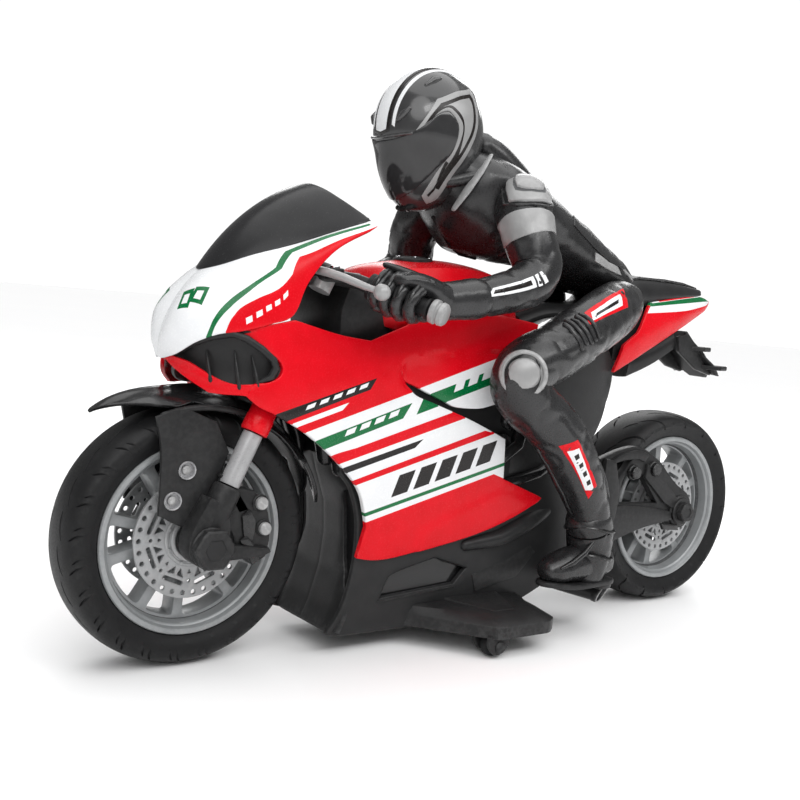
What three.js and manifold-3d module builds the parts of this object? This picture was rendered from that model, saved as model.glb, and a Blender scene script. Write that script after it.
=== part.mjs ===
// 1:10 remote-controlled sport motorcycle with a seated rider figure.
// Millimetres, +X forward, +Y to the rider's left, +Z up, tyres standing on z = 0.
import * as THREE from 'three';
import { mergeVertices } from 'three/addons/utils/BufferGeometryUtils.js';
import Module from 'manifold-3d';

const wasm = await Module();
wasm.setup();

// ---------------------------------------------------------------- driving dimensions
const GAP = 0.3; // clearance between pieces that touch
const RUN = 0.4; // running clearance of a turning piece
const FRONT_AXLE = { x: 80.3, z: 30 };
const REAR_AXLE = { x: -80.7, z: 29.6 };
const FRONT_TYRE = { radius: 30, half: 7.8, seat: 22.3, seatHalf: 5.9 };
const REAR_TYRE = { radius: 29.6, half: 9.1, seat: 22.3, seatHalf: 6.9 };
const RIM_RADIUS = 22;
const RIM_INNER = 19.6;
const AXLE_RADIUS = 2;
const DISC = { inner: 4.6, outer: 14, from: 4.9, to: 5.8 };
const RAKE = THREE.MathUtils.degToRad(24);
const STEER = { x: 61.9, z: 66 }; // crossing of the steering axis and the fork crown
const FORK = { ahead: 3, side: 12.5, tube: 2.3, sleeve: 3.1 };
const SECTOR = { teeth: 24, module: 0.75 };
const SERVO_PINION_TEETH = 10;
const DRIVE_MODULE = 0.6;
const DRIVE = { pinion: 10, idler: 26, axle: 24, tilt: THREE.MathUtils.degToRad(11.7) };
const GEAR_Y = { from: -12.8, to: -10.9 };
const ROLLER = { x: 6, y: 28.2, radius: 3, half: 1.3 };
const POD = { bottom: 5.4, top: 9.6, half: 33 };
const BELLY_HALF = 14.6;
const PANEL = { inner: 17, outer: 19.6 }; // side fairing, distance from the centre plane

const red = { color: 0xd8121c, roughness: 0.25, metalness: 0 };
const black = { color: 0x1b1c1e, roughness: 0.45, metalness: 0 };
const leather = { color: 0x151517, roughness: 0.35, metalness: 0 };
const rubber = { color: 0x202021, roughness: 0.8, metalness: 0 };
const silver = { color: 0x8e9092, roughness: 0.35, metalness: 0.6 };
const steel = { color: 0x9a9c9e, roughness: 0.3, metalness: 1 };
const smoke = { color: 0x2a2b2d, roughness: 0.15, metalness: 0 };
const green = { color: 0x1d6b3a, roughness: 0.6, metalness: 0 };
const nylon = { color: 0xe6e2d6, roughness: 0.5, metalness: 0 };

const group = new THREE.Group();

// ---------------------------------------------------------------- solid helpers
function toSolid(geometry) {
  const bare = geometry.index ? geometry.toNonIndexed() : geometry.clone();
  bare.deleteAttribute('normal');
  bare.deleteAttribute('uv');
  const merged = mergeVertices(bare, 1e-4);
  return new wasm.Manifold(new wasm.Mesh({
    numProp: 3,
    vertProperties: new Float32Array(merged.attributes.position.array),
    triVerts: new Uint32Array(merged.index.array),
  }));
}

function toGeometry(solid) {
  const mesh = solid.getMesh();
  const geometry = new THREE.BufferGeometry();
  geometry.setAttribute('position', new THREE.BufferAttribute(new Float32Array(mesh.vertProperties), 3));
  geometry.setIndex(new THREE.BufferAttribute(new Uint32Array(mesh.triVerts), 1));
  return geometry;
}

function join(...geometries) {
  return toGeometry(geometries.map(toSolid).reduce((a, b) => a.add(b)));
}

function cut(geometry, ...tools) {
  return toGeometry(tools.map(toSolid).reduce((a, b) => a.subtract(b), toSolid(geometry)));
}

function common(a, b) {
  return toGeometry(toSolid(a).intersect(toSolid(b)));
}

function largest(geometry) {
  return toGeometry(toSolid(geometry).decompose().sort((a, b) => b.volume() - a.volume())[0]);
}

function mirrored(geometry) {
  const copy = geometry.index ? geometry.toNonIndexed() : geometry.clone();
  const p = copy.attributes.position;
  for (let i = 0; i < p.count; i += 3) {
    const second = [p.getX(i + 1), p.getY(i + 1), p.getZ(i + 1)];
    const third = [p.getX(i + 2), p.getY(i + 2), p.getZ(i + 2)];
    p.setXYZ(i, p.getX(i), -p.getY(i), p.getZ(i));
    p.setXYZ(i + 1, third[0], -third[1], third[2]);
    p.setXYZ(i + 2, second[0], -second[1], second[2]);
  }
  return copy;
}

function add(name, geometry, look) {
  const bare = geometry.clone();
  bare.deleteAttribute('uv');
  bare.computeVertexNormals();
  const mesh = new THREE.Mesh(bare, new THREE.MeshStandardMaterial(look));
  mesh.name = name;
  group.add(mesh);
}

function addPair(name, geometry, look) {
  add(`${name}_left`, geometry, look);
  add(`${name}_right`, mirrored(geometry), look);
}

// Prism of a side-view outline of [x, z] points between two distances from the centre plane.
function plate(outline, y0, y1) {
  const shape = new THREE.Shape(outline.map(([x, z]) => new THREE.Vector2(x, z)));
  const geometry = new THREE.ExtrudeGeometry(shape, { depth: y1 - y0, bevelEnabled: false });
  geometry.rotateX(Math.PI / 2);
  return geometry.translate(0, y1, 0);
}

// Prism of a top-view outline of [x, y] points between two heights.
function slab(outline, z0, z1) {
  const shape = new THREE.Shape(outline.map(([x, y]) => new THREE.Vector2(x, y)));
  const geometry = new THREE.ExtrudeGeometry(shape, { depth: z1 - z0, bevelEnabled: false });
  return geometry.translate(0, 0, z0);
}

function block(x0, x1, y0, y1, z0, z1) {
  const geometry = new THREE.BoxGeometry(x1 - x0, y1 - y0, z1 - z0);
  return geometry.translate((x0 + x1) / 2, (y0 + y1) / 2, (z0 + z1) / 2);
}

function rod(from, to, radius, sides = 10, endRadius = radius) {
  const a = new THREE.Vector3(...from);
  const b = new THREE.Vector3(...to);
  const along = b.clone().sub(a);
  const geometry = new THREE.CylinderGeometry(endRadius, radius, along.length(), sides);
  const turn = new THREE.Quaternion().setFromUnitVectors(new THREE.Vector3(0, 1, 0), along.normalize());
  return geometry.applyQuaternion(turn).translate(...a.add(b).multiplyScalar(0.5));
}

// Closed solid of revolution about the wheel axis at (x, z); profile points are [radius, y].
function turned(profile, centre, sides = 32) {
  const points = profile.map(([r, y]) => new THREE.Vector2(r, y));
  return new THREE.LatheGeometry(points, sides).translate(centre.x, 0, centre.z);
}

function washer(centre, inner, outer, y0, y1, sides = 28) {
  return turned([[inner, y0], [outer, y0], [outer, y1], [inner, y1], [inner, y0]], centre, sides);
}

// Closed skin through rings of points, all with the same number of points.
function loft(rings) {
  const count = rings[0].length;
  const positions = rings.flat().flatMap((p) => [p.x, p.y, p.z]);
  const faces = [];
  for (let r = 0; r + 1 < rings.length; r += 1) {
    for (let i = 0; i < count; i += 1) {
      const a = r * count + i;
      const b = r * count + ((i + 1) % count);
      faces.push(a, b, a + count, b, b + count, a + count);
    }
  }
  const ends = [[rings[0], 0, true], [rings.at(-1), (rings.length - 1) * count, false]];
  for (const [ring, start, flip] of ends) {
    const centre = ring.reduce((s, p) => s.add(p), new THREE.Vector3()).divideScalar(count);
    const hub = positions.length / 3;
    positions.push(centre.x, centre.y, centre.z);
    for (let i = 0; i < count; i += 1) {
      const a = start + i;
      const b = start + ((i + 1) % count);
      faces.push(hub, ...(flip ? [b, a] : [a, b]));
    }
  }
  const geometry = new THREE.BufferGeometry();
  geometry.setAttribute('position', new THREE.Float32BufferAttribute(positions, 3));
  geometry.setIndex(faces);
  return volumeOf(geometry) < 0 ? flipped(geometry) : geometry;
}

function volumeOf(geometry) {
  const p = geometry.attributes.position;
  const corner = (i) => new THREE.Vector3().fromBufferAttribute(p, geometry.index.getX(i));
  let sum = 0;
  for (let i = 0; i < geometry.index.count; i += 3) {
    sum += corner(i).dot(corner(i + 1).cross(corner(i + 2)));
  }
  return sum / 6;
}

function flipped(geometry) {
  const index = Array.from(geometry.index.array);
  for (let i = 0; i < index.length; i += 3) {
    [index[i + 1], index[i + 2]] = [index[i + 2], index[i + 1]];
  }
  return geometry.clone().setIndex(index);
}

// Upright ring across the bike at x: half width w, from z0 to z1, squared off by the power.
function bodyRing(x, w, z0, z1, power = 2.6, count = 14) {
  const ring = [];
  for (let i = 0; i < count; i += 1) {
    const t = (2 * Math.PI * i) / count;
    const c = Math.sign(Math.cos(t)) * Math.abs(Math.cos(t)) ** (2 / power);
    const s = Math.sign(Math.sin(t)) * Math.abs(Math.sin(t)) ** (2 / power);
    ring.push(new THREE.Vector3(x, w * c, (z0 + z1) / 2 + ((z1 - z0) / 2) * s));
  }
  return ring;
}

// Limb through centre points with round sections; stations are [x, y, z, radius across, radius along].
function limb(stations, count = 12) {
  const centres = stations.map(([x, y, z]) => new THREE.Vector3(x, y, z));
  const rings = stations.map(([, , , wide, deep], k) => {
    const before = centres[Math.max(k - 1, 0)];
    const after = centres[Math.min(k + 1, centres.length - 1)];
    const tangent = after.clone().sub(before).normalize();
    const side = new THREE.Vector3(0, 1, 0).addScaledVector(tangent, -tangent.y).normalize();
    const depth = new THREE.Vector3().crossVectors(tangent, side);
    return Array.from({ length: count }, (_, i) => {
      const t = (2 * Math.PI * i) / count;
      return centres[k].clone()
        .addScaledVector(side, wide * Math.cos(t))
        .addScaledVector(depth, (deep ?? wide) * Math.sin(t));
    });
  });
  return loft(rings);
}

// Curved sheet of constant thickness over point(u, v), u and v from 0 to 1.
function sheet(point, cols, rows, thickness) {
  const step = 1e-3;
  const outer = [];
  const inner = [];
  for (let j = 0; j <= rows; j += 1) {
    for (let i = 0; i <= cols; i += 1) {
      const u = i / cols;
      const v = j / rows;
      const p = point(u, v);
      const du = point(Math.min(u + step, 1), v).sub(point(Math.max(u - step, 0), v));
      const dv = point(u, Math.min(v + step, 1)).sub(point(u, Math.max(v - step, 0)));
      outer.push(p);
      inner.push(p.clone().addScaledVector(du.cross(dv).normalize(), -thickness));
    }
  }
  const faces = [];
  const n = outer.length;
  const quad = (a, b, c, d) => faces.push(a, b, c, a, c, d);
  const at = (i, j) => j * (cols + 1) + i;
  for (let j = 0; j < rows; j += 1) {
    for (let i = 0; i < cols; i += 1) {
      quad(at(i, j), at(i + 1, j), at(i + 1, j + 1), at(i, j + 1));
      quad(n + at(i, j + 1), n + at(i + 1, j + 1), n + at(i + 1, j), n + at(i, j));
    }
  }
  const rim = (a, b) => quad(b, a, n + a, n + b);
  for (let i = 0; i < cols; i += 1) {
    rim(at(i, 0), at(i + 1, 0));
    rim(at(i + 1, rows), at(i, rows));
  }
  for (let j = 0; j < rows; j += 1) {
    rim(at(cols, j), at(cols, j + 1));
    rim(at(0, j + 1), at(0, j));
  }
  const geometry = new THREE.BufferGeometry();
  const positions = [...outer, ...inner].flatMap((p) => [p.x, p.y, p.z]);
  geometry.setAttribute('position', new THREE.Float32BufferAttribute(positions, 3));
  geometry.setIndex(faces);
  return volumeOf(geometry) < 0 ? flipped(geometry) : geometry;
}

const lerp = THREE.MathUtils.lerp;

// ---------------------------------------------------------------- gears
const TOOTH = { addendum: 0.85, dedendum: 1.2, root: 1.3, tip: 0.36 };

function gearOutline(teeth, module, phase) {
  const pitch = (teeth * module) / 2;
  const half = Math.PI / (2 * teeth);
  const flank = [
    [pitch - TOOTH.dedendum * module, -TOOTH.root],
    [pitch + TOOTH.addendum * module, -TOOTH.tip],
    [pitch + TOOTH.addendum * module, TOOTH.tip],
    [pitch - TOOTH.dedendum * module, TOOTH.root],
  ];
  const outline = [];
  for (let tooth = 0; tooth < teeth; tooth += 1) {
    for (const [radius, share] of flank) {
      const angle = phase + (2 * Math.PI * tooth) / teeth + share * half;
      outline.push([radius * Math.cos(angle), radius * Math.sin(angle)]);
    }
  }
  return outline;
}

// Phase that puts a tooth gap of the mate where this gear's tooth meets it, in the direction given.
function matePhase(teeth, phase, direction, mateTeeth) {
  const pitch = (2 * Math.PI) / teeth;
  const offset = phase - direction - pitch * Math.round((phase - direction) / pitch);
  const gap = direction + Math.PI - (offset * teeth) / mateTeeth;
  return gap + Math.PI / mateTeeth;
}

function driveGear(centre, teeth, phase, bore, y0 = GEAR_Y.from, y1 = GEAR_Y.to) {
  const outline = gearOutline(teeth, DRIVE_MODULE, phase).map(([x, z]) => [centre.x + x, centre.z + z]);
  const wheel = plate(outline, y0, y1);
  return bore ? cut(wheel, rod([centre.x, y0 - 1, centre.z], [centre.x, y1 + 1, centre.z], bore)) : wheel;
}

// ---------------------------------------------------------------- wheels
function tyre(spec, centre) {
  const { radius, half, seat, seatHalf } = spec;
  const profile = [[seat, -seatHalf]];
  profile.push([seat + 4, -half]);
  for (let i = -2; i <= 2; i += 1) {
    const t = (i / 2) * 1.25;
    const drop = (radius - seat - 4) * (1 - Math.cos(t)) * 1.05;
    profile.push([radius - drop, (half * Math.sin(t)) / Math.sin(1.25) * 0.985]);
  }
  profile.push([seat + 4, half]);
  profile.push([seat, seatHalf]);
  profile.push([seat, -seatHalf]);
  return turned(profile, centre, 36);
}

function rim(centre, half, hubHalf, bore) {
  const ring = washer(centre, RIM_INNER, RIM_RADIUS, -half, half, 32);
  const hub = washer(centre, bore, 6.2, -hubHalf, hubHalf, 16);
  const spokes = [];
  const pairs = 5;
  for (let i = 0; i < pairs; i += 1) {
    for (const spread of [-0.16, 0.16]) {
      const angle = (2 * Math.PI * i) / pairs + spread;
      const spoke = block(4.5, RIM_INNER + 0.8, -1.7, 1.7, -0.9, 0.9);
      spoke.rotateY(angle);
      spokes.push(spoke.translate(centre.x, 0, centre.z));
    }
  }
  return join(ring, hub, ...spokes);
}

function hexNut(centre, radius, y0, y1) {
  return rod([centre.x, y0, centre.z], [centre.x, y1, centre.z], radius, 6);
}

function frontWheel() {
  add('front_tyre', tyre(FRONT_TYRE, FRONT_AXLE), rubber);
  add('front_rim', rim(FRONT_AXLE, FRONT_TYRE.seatHalf, DISC.from - GAP, AXLE_RADIUS + RUN), silver);
  addPair('front_brake_disc', washer(FRONT_AXLE, DISC.inner, DISC.outer, DISC.from, DISC.to), steel);
}

function rearWheel() {
  add('rear_tyre', tyre(REAR_TYRE, REAR_AXLE), rubber);
  add('rear_rim', rim(REAR_AXLE, REAR_TYRE.seatHalf, DISC.from - GAP, AXLE_RADIUS + GAP), silver);
  add('rear_brake_disc', washer(REAR_AXLE, DISC.inner, DISC.outer, DISC.from, DISC.to), steel);
  const { x, z } = REAR_AXLE;
  const shaft = rod([x, -13, z], [x, 13.2, z], AXLE_RADIUS);
  add('rear_axle', join(shaft, hexNut(REAR_AXLE, 4, 12.9, 15.6)), steel);
}

// ---------------------------------------------------------------- steering
// World place of a point u ahead of the steering axis, y to the left and w up along the axis.
function onSteer(u, y, w) {
  return [
    STEER.x + u * Math.cos(RAKE) - w * Math.sin(RAKE),
    y,
    STEER.z + u * Math.sin(RAKE) + w * Math.cos(RAKE),
  ];
}

function steerFrame(geometry) {
  return geometry.rotateY(-RAKE).translate(STEER.x, 0, STEER.z);
}

const CROWN_HALF = 1.5;
const FORK_AXLE_W = -((STEER.z - FRONT_AXLE.z) / Math.cos(RAKE));

function forkCrown() {
  const arms = steerFrame(block(-2.5, 5.5, -FORK.side, FORK.side, -CROWN_HALF, CROWN_HALF));
  const eyes = [1, -1].map((s) => rod(
    onSteer(FORK.ahead, s * FORK.side, -CROWN_HALF),
    onSteer(FORK.ahead, s * FORK.side, CROWN_HALF),
    3.6,
  ));
  const wheel = slab(gearOutline(SECTOR.teeth, SECTOR.module, Math.PI), -CROWN_HALF, CROWN_HALF);
  const reach = block(-12, 0, -8, 8, -3, 3);
  const sector = steerFrame(common(wheel, reach));
  const stem = rod(onSteer(0, 0, 0), onSteer(0, 0, 13), 2.4);
  return join(arms, ...eyes, sector, stem);
}

function forkLeg() {
  const sleeve = rod(
    onSteer(FORK.ahead, FORK.side, -CROWN_HALF - GAP),
    onSteer(FORK.ahead, FORK.side, -13),
    FORK.sleeve,
  );
  addPair('fork_sleeve', sleeve, red);
  const tube = rod(
    onSteer(FORK.ahead, FORK.side, -13 - GAP),
    onSteer(FORK.ahead, FORK.side, -26),
    FORK.tube,
  );
  addPair('fork_stanchion', tube, silver);
  const lower = rod(
    onSteer(FORK.ahead, FORK.side, -26 - GAP),
    onSteer(FORK.ahead, FORK.side, FORK_AXLE_W - 2),
    FORK.sleeve,
  );
  const clamp = rod([FRONT_AXLE.x, 9.4, FRONT_AXLE.z], [FRONT_AXLE.x, 15.4, FRONT_AXLE.z], 4.6);
  const caliper = plate([[63, 40], [76.5, 41.5], [78, 32], [73, 28], [70, 23], [64.5, 29]], 6.3, 13);
  const bracket = plate([[74, 42.5], [80, 50], [86, 46], [88.5, 37], [82, 33], [76, 34]], 11.2, 13.8);
  const tubeRoom = rod(
    onSteer(FORK.ahead, FORK.side, -12),
    onSteer(FORK.ahead, FORK.side, -26 - GAP / 2),
    FORK.tube + GAP,
  );
  const bore = rod([FRONT_AXLE.x, 5, FRONT_AXLE.z], [FRONT_AXLE.x, 20, FRONT_AXLE.z], AXLE_RADIUS + GAP);
  const ringCut = washer(FRONT_AXLE, RIM_INNER - 0.9, RIM_INNER + 30, 0, 9.3, 48);
  const foot = join(lower, clamp, cut(caliper, ringCut), cut(bracket, tubeRoom));
  addPair('fork_lower', cut(foot, bore), black);
}

function frontAxle() {
  const { x, z } = FRONT_AXLE;
  const nuts = [1, -1].map((s) => rod([x, s * 15.7, z], [x, s * 18.3, z], 4.2, 6));
  add('front_axle', join(rod([x, -16, z], [x, 16, z], AXLE_RADIUS), ...nuts), steel);
}

const FENDER = { radius: 32.5, half: 8.3, wall: 0.9, front: 34, rear: -74 };

function fender() {
  const arch = sheet((u, v) => {
    const angle = THREE.MathUtils.degToRad(lerp(FENDER.front, FENDER.rear, u));
    const across = lerp(-1, 1, v);
    const narrow = 1 - 0.45 * Math.max(0, 1 - u * 6) ** 2;
    const radius = FENDER.radius - 3.4 * Math.abs(across * narrow) ** 4;
    return new THREE.Vector3(
      FRONT_AXLE.x + radius * Math.sin(angle),
      FENDER.half * narrow * across,
      FRONT_AXLE.z + radius * Math.cos(angle),
    );
  }, 12, 6, FENDER.wall);
  add('front_fender', arch, black);
}

// ---------------------------------------------------------------- chassis and belly
const BELLY = [
  [46, 6.5], [42.3, 13], [40.8, 25], [40.6, 34], [43.4, 42], [45.5, 46], [38.5, 54], [37, 70], [33, 79],
  [-10, 79], [-30, 84], [-46, 76], [-45, 60], [-34, 44], [-33, 24], [-36, 12], [-10, 5.2], [44, 5.2],
];
const BAY = [[34, 13], [34, 60], [28, 74], [-8, 74], [-24, 62], [-26, 30], [-26, 14]];

function chassis() {
  const shell = plate(BELLY, 0.15, BELLY_HALF);
  const bay = plate(BAY, -1, BELLY_HALF - 1.8);
  const head = steerFrame(block(-6.5, 6.5, 0.15, 15.8, 4, 12));
  const tie = steerFrame(block(-24, -6, 9.5, 15.8, 4, 10));
  const stemBore = rod(onSteer(0, 0, 0), onSteer(0, 0, 20), 2.4 + RUN);
  const motorSeat = rod([MOTOR.x, -20, MOTOR.z], [MOTOR.x, 20, MOTOR.z], MOTOR_RADIUS + GAP, 24);
  const rearTyre = washer(REAR_AXLE, 0.5, REAR_TYRE.radius + 1.2, -11, 11, 48);
  const half = cut(join(shell, head, tie), bay, stemBore, motorSeat, rearTyre);
  const switchSlot = block(-7.5, 0.5, -3.3, 3.3, 4, 14);
  const doorWell = block(10, 34, -9.3, 9.3, 4, 14);
  addPair('chassis_half', cut(half, switchSlot, doorWell), black);
}

function electrics() {
  add('battery', join(
    rod([-18, -5.6, 24], [30, -5.6, 24], 5),
    rod([-18, 5.6, 24], [30, 5.6, 24], 5),
    block(-17.5, 29.5, -4, 4, 20.5, 27.5),
  ), green);
  const board = block(-16, 24, -10, 10, 46, 47.2);
  const chips = [
    block(-10, -4, -3, 3, 47, 49),
    block(6, 10, -6, -1, 47, 49.5),
    block(14, 20, 2, 8, 47, 51),
  ];
  add('circuit_board', join(board, ...chips), green);
  add('battery_door', join(block(10.3, 33.7, -9, 9, 5.2, 6.6), block(14, 30, -6, 6, 6.4, 9)), black);
  const slider = block(-6.4, -5, -1.2, 1.2, 5.4, 6.4);
  add('power_switch', join(block(-7.2, -4.2, -3, 3, 6.2, 8.4), slider), black);
}

function pod() {
  const { bottom, top, half } = POD;
  const outline = [
    [24, 13], [10, half - 4], [7, half], [-10, half], [-13, half - 3], [-15, 18],
    [-15, -18], [-13, 3 - half], [-10, -half], [7, -half], [10, 4 - half], [24, -13],
  ];
  const wings = cut(slab(outline, bottom, top), block(-40, 40, -15, 15, 0, 20));
  const wing = common(wings, block(-40, 40, 0, 60, 0, 20));
  const wheelWell = block(ROLLER.x - 4, ROLLER.x + 4, ROLLER.y - 2, ROLLER.y + 2, 0, 7.4);
  const cheeks = [2.2, -3.4].map((d) => plate(
    [[3.5, 6], [3.5, 3.6], [5, 1.6], [8, 1.6], [9, 3.4], [9, 6]].map(([x, z]) => [x - 0.2, z]),
    ROLLER.y + d,
    ROLLER.y + d + 1.2,
  ));
  const pin = rod([ROLLER.x, ROLLER.y - 3, ROLLER.radius], [ROLLER.x, ROLLER.y + 3, ROLLER.radius], 0.7);
  addPair('stabiliser_wing', join(cut(wing, wheelWell), ...cheeks, pin), black);
  const { x, y, radius, half: rollerHalf } = ROLLER;
  const tread = turned([
    [1, -rollerHalf], [radius - 0.5, -rollerHalf], [radius, -rollerHalf + 0.5],
    [radius, rollerHalf - 0.5], [radius - 0.5, rollerHalf], [1, rollerHalf], [1, -rollerHalf],
  ], { x, z: radius }, 24).translate(0, y, 0);
  addPair('stabiliser_roller', tread, black);
}

// ---------------------------------------------------------------- drive train
const DRIVE_SLACK = 0.08; // extra centre distance that gives the teeth backlash
const meshDistance = (a, b) => ((a + b) * DRIVE_MODULE) / 2 + DRIVE_SLACK;
const stepAlong = (from, distance) => ({
  x: from.x + distance * Math.cos(DRIVE.tilt),
  z: from.z + distance * Math.sin(DRIVE.tilt),
});
const IDLER_REAR = stepAlong(REAR_AXLE, meshDistance(DRIVE.axle, DRIVE.idler));
const IDLER_FRONT = stepAlong(IDLER_REAR, meshDistance(DRIVE.idler, DRIVE.idler));
const MOTOR = stepAlong(IDLER_FRONT, meshDistance(DRIVE.idler, DRIVE.pinion));
const MOTOR_RADIUS = 5.2;
const IDLER_PIN = 1.1;

function driveTrain() {
  const axlePhase = DRIVE.tilt;
  const rearPhase = matePhase(DRIVE.axle, axlePhase, DRIVE.tilt, DRIVE.idler);
  const frontPhase = matePhase(DRIVE.idler, rearPhase, DRIVE.tilt, DRIVE.idler);
  const pinionPhase = matePhase(DRIVE.idler, frontPhase, DRIVE.tilt, DRIVE.pinion);
  add('wheel_gear', driveGear(REAR_AXLE, DRIVE.axle, axlePhase, AXLE_RADIUS + GAP), nylon);
  add('idler_gear_rear', driveGear(IDLER_REAR, DRIVE.idler, rearPhase, IDLER_PIN + RUN), nylon);
  add('idler_gear_front', driveGear(IDLER_FRONT, DRIVE.idler, frontPhase, IDLER_PIN + RUN), nylon);
  add('motor_pinion', driveGear(MOTOR, DRIVE.pinion, pinionPhase, 0.75 + RUN), steel);
  const can = rod([MOTOR.x, -8, MOTOR.z], [MOTOR.x, 8, MOTOR.z], MOTOR_RADIUS, 24);
  add('drive_motor', join(can, rod([MOTOR.x, -8, MOTOR.z], [MOTOR.x, GEAR_Y.from, MOTOR.z], 0.75)), steel);
}

const ARM = [
  [-34.4, 40], [-44, 46.6], [-58, 48.5], [-66, 44], [-78, 35.4], [-86, 34.6], [-88.5, 29.6],
  [-86, 24.6], [-74, 23.4], [-60, 22.4], [-46, 21.5], [-34.4, 25],
];
const ARM_WINDOW = [[-48, 39], [-60, 40.5], [-70, 33.5], [-64, 28], [-50, 28]];
const CASE = [
  [-34.5, 43.5], [-42, 46.6], [-58, 47.5], [-70, 43], [-80, 39.2], [-88, 35.6], [-90.4, 29.6],
  [-88, 22.4], [-80.7, 20], [-66, 22.2], [-48, 24.5], [-35, 31],
];

function swingarms() {
  const left = cut(
    plate(ARM, 9.8, 12.5),
    plate(ARM_WINDOW, 9, 16),
    rod([REAR_AXLE.x, 9, REAR_AXLE.z], [REAR_AXLE.x, 16, REAR_AXLE.z], AXLE_RADIUS + RUN),
  );
  add('swingarm_left', left, black);
  const wells = [
    [REAR_AXLE, 8.5], [IDLER_REAR, 9], [IDLER_FRONT, 9], [MOTOR, 4.6],
  ].map(([c, r]) => rod([c.x, -14, c.z], [c.x, -10.5, c.z], r, 32));
  const bores = [[REAR_AXLE, AXLE_RADIUS + RUN], [MOTOR, 0.75 + RUN]]
    .map(([c, r]) => rod([c.x, -20, c.z], [c.x, -8, c.z], r));
  const pins = [IDLER_REAR, IDLER_FRONT].map((c) => rod([c.x, -13, c.z], [c.x, -10, c.z], IDLER_PIN));
  const housing = cut(plate(CASE, -13.2, -9.8), ...wells, ...bores);
  add('swingarm_right', join(housing, ...pins), black);
  const lid = plate(CASE, -15, -13.2 - GAP);
  add('gear_cover', lid, black);
}

// ---------------------------------------------------------------- steering servo
function servo() {
  const distance = ((SECTOR.teeth + SERVO_PINION_TEETH) * SECTOR.module) / 2 + 0.1;
  const phase = matePhase(SECTOR.teeth, Math.PI, Math.PI, SERVO_PINION_TEETH);
  const outline = gearOutline(SERVO_PINION_TEETH, SECTOR.module, phase).map(([x, y]) => [x - distance, y]);
  const wheel = slab(outline, -1.4, 1.4);
  const bore = rod([-distance, 0, -3], [-distance, 0, 3], 0.8 + RUN);
  add('servo_pinion', steerFrame(cut(wheel, bore)), nylon);
  const can = block(-distance - 6, -distance + 4.6, -5.5, 5.5, 2, 13);
  const shaft = rod([-distance, 0, -1.6], [-distance, 0, 4], 0.8);
  add('steering_servo', steerFrame(join(can, shaft)), black);
}

// ---------------------------------------------------------------- fairings
const FAIRING = [
  [73.5, 76], [72.5, 63], [67, 60], [59.5, 56], [51, 49.8], [43.8, 42], [41, 33.5], [42.2, 25.5],
  [29, 24.6], [8, 28.4], [-16.5, 37.4], [-2, 43.4], [-1.5, 53.5], [11, 58.8], [-2, 62.6], [9, 76.6],
  [30, 81.5], [42, 77.5], [60, 82],
];

function sideFairings() {
  const panel = plate(FAIRING, PANEL.inner, PANEL.outer);
  const pad = block(0, 36, BELLY_HALF + GAP, PANEL.inner + 0.5, 40, 52);
  addPair('side_fairing', join(panel, pad), red);
}

// Nose cowl sections: x, half width, bottom and top height.
const NOSE = [
  [88.4, 2.5, 70.2, 73], [86, 7.5, 69.8, 79], [82, 11.5, 72, 85.6], [76, 14.5, 75, 90.5],
  [68, 17, 78.4, 94.8], [60, 18.2, 83, 98.8], [52, 18.4, 90.5, 102], [46.8, 18.2, 98, 104.3],
];

function nose() {
  const outer = loft(NOSE.map(([x, w, z0, z1]) => bodyRing(x, w, z0, z1)));
  const inner = loft(NOSE.slice(1).map(([x, w, z0, z1]) => bodyRing(x - 3, w - 1.8, z0 - 3, z1 - 2.2)));
  const cockpit = plate([
    [40, 79], [64.8, 80.6], [63.8, 82.7], [61.2, 91.4], [58, 95.7], [49, 100.3], [44, 104], [40, 104],
  ], -30, 30);
  const screenRoom = plate([[80, 91.8], [56, 100], [40, 110], [40, 96], [58, 84], [76, 82]], -14, 14);
  add('nose_cowl', largest(cut(outer, inner, cockpit, screenRoom)), red);
  const screen = sheet((u, v) => {
    const across = lerp(-1, 1, u);
    const bow = 1 - across ** 2;
    const baseX = lerp(47.5, 79.6, bow);
    const baseZ = lerp(105, 91.4, bow);
    const topX = lerp(45.5, 55.2, bow);
    const topZ = lerp(106.4, 113.4, bow);
    return new THREE.Vector3(lerp(baseX, topX, v), 16.5 * across, lerp(baseZ, topZ, v));
  }, 10, 4, 1);
  add('windscreen', screen, smoke);
}

function intake() {
  const outline = [[80, 71.6], [84.5, 69.4], [80, 66.6], [70, 66.3], [60, 69.5], [58, 73], [66, 76.4]];
  const body = plate(outline, -16.4, 16.4);
  const wells = [1, -1].map((s) => {
    const hole = block(-7, 7, -5.5, 5.5, -3, 3);
    hole.rotateZ(s * 0.9);
    return hole.translate(79, s * 14.5, 71.4);
  });
  const crownSweep = rod(onSteer(0, 0, -10), onSteer(0, 0, 3.6), 17, 32);
  const headRoom = block(40, 67.4, -16.2, 16.2, 60, 80);
  add('intake_panel', cut(body, ...wells, crownSweep, headRoom), black);
}

// Tank sections: x, half width, bottom and top height.
const TANK = [
  [37.5, 8, 82, 91.5], [34, 12.5, 80.5, 94.8], [24, 15.6, 79.6, 97], [12, 16, 79.6, 98],
  [0, 14.5, 79.6, 97], [-7, 11, 80, 94], [-10, 8, 81, 91.5],
];

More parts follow.
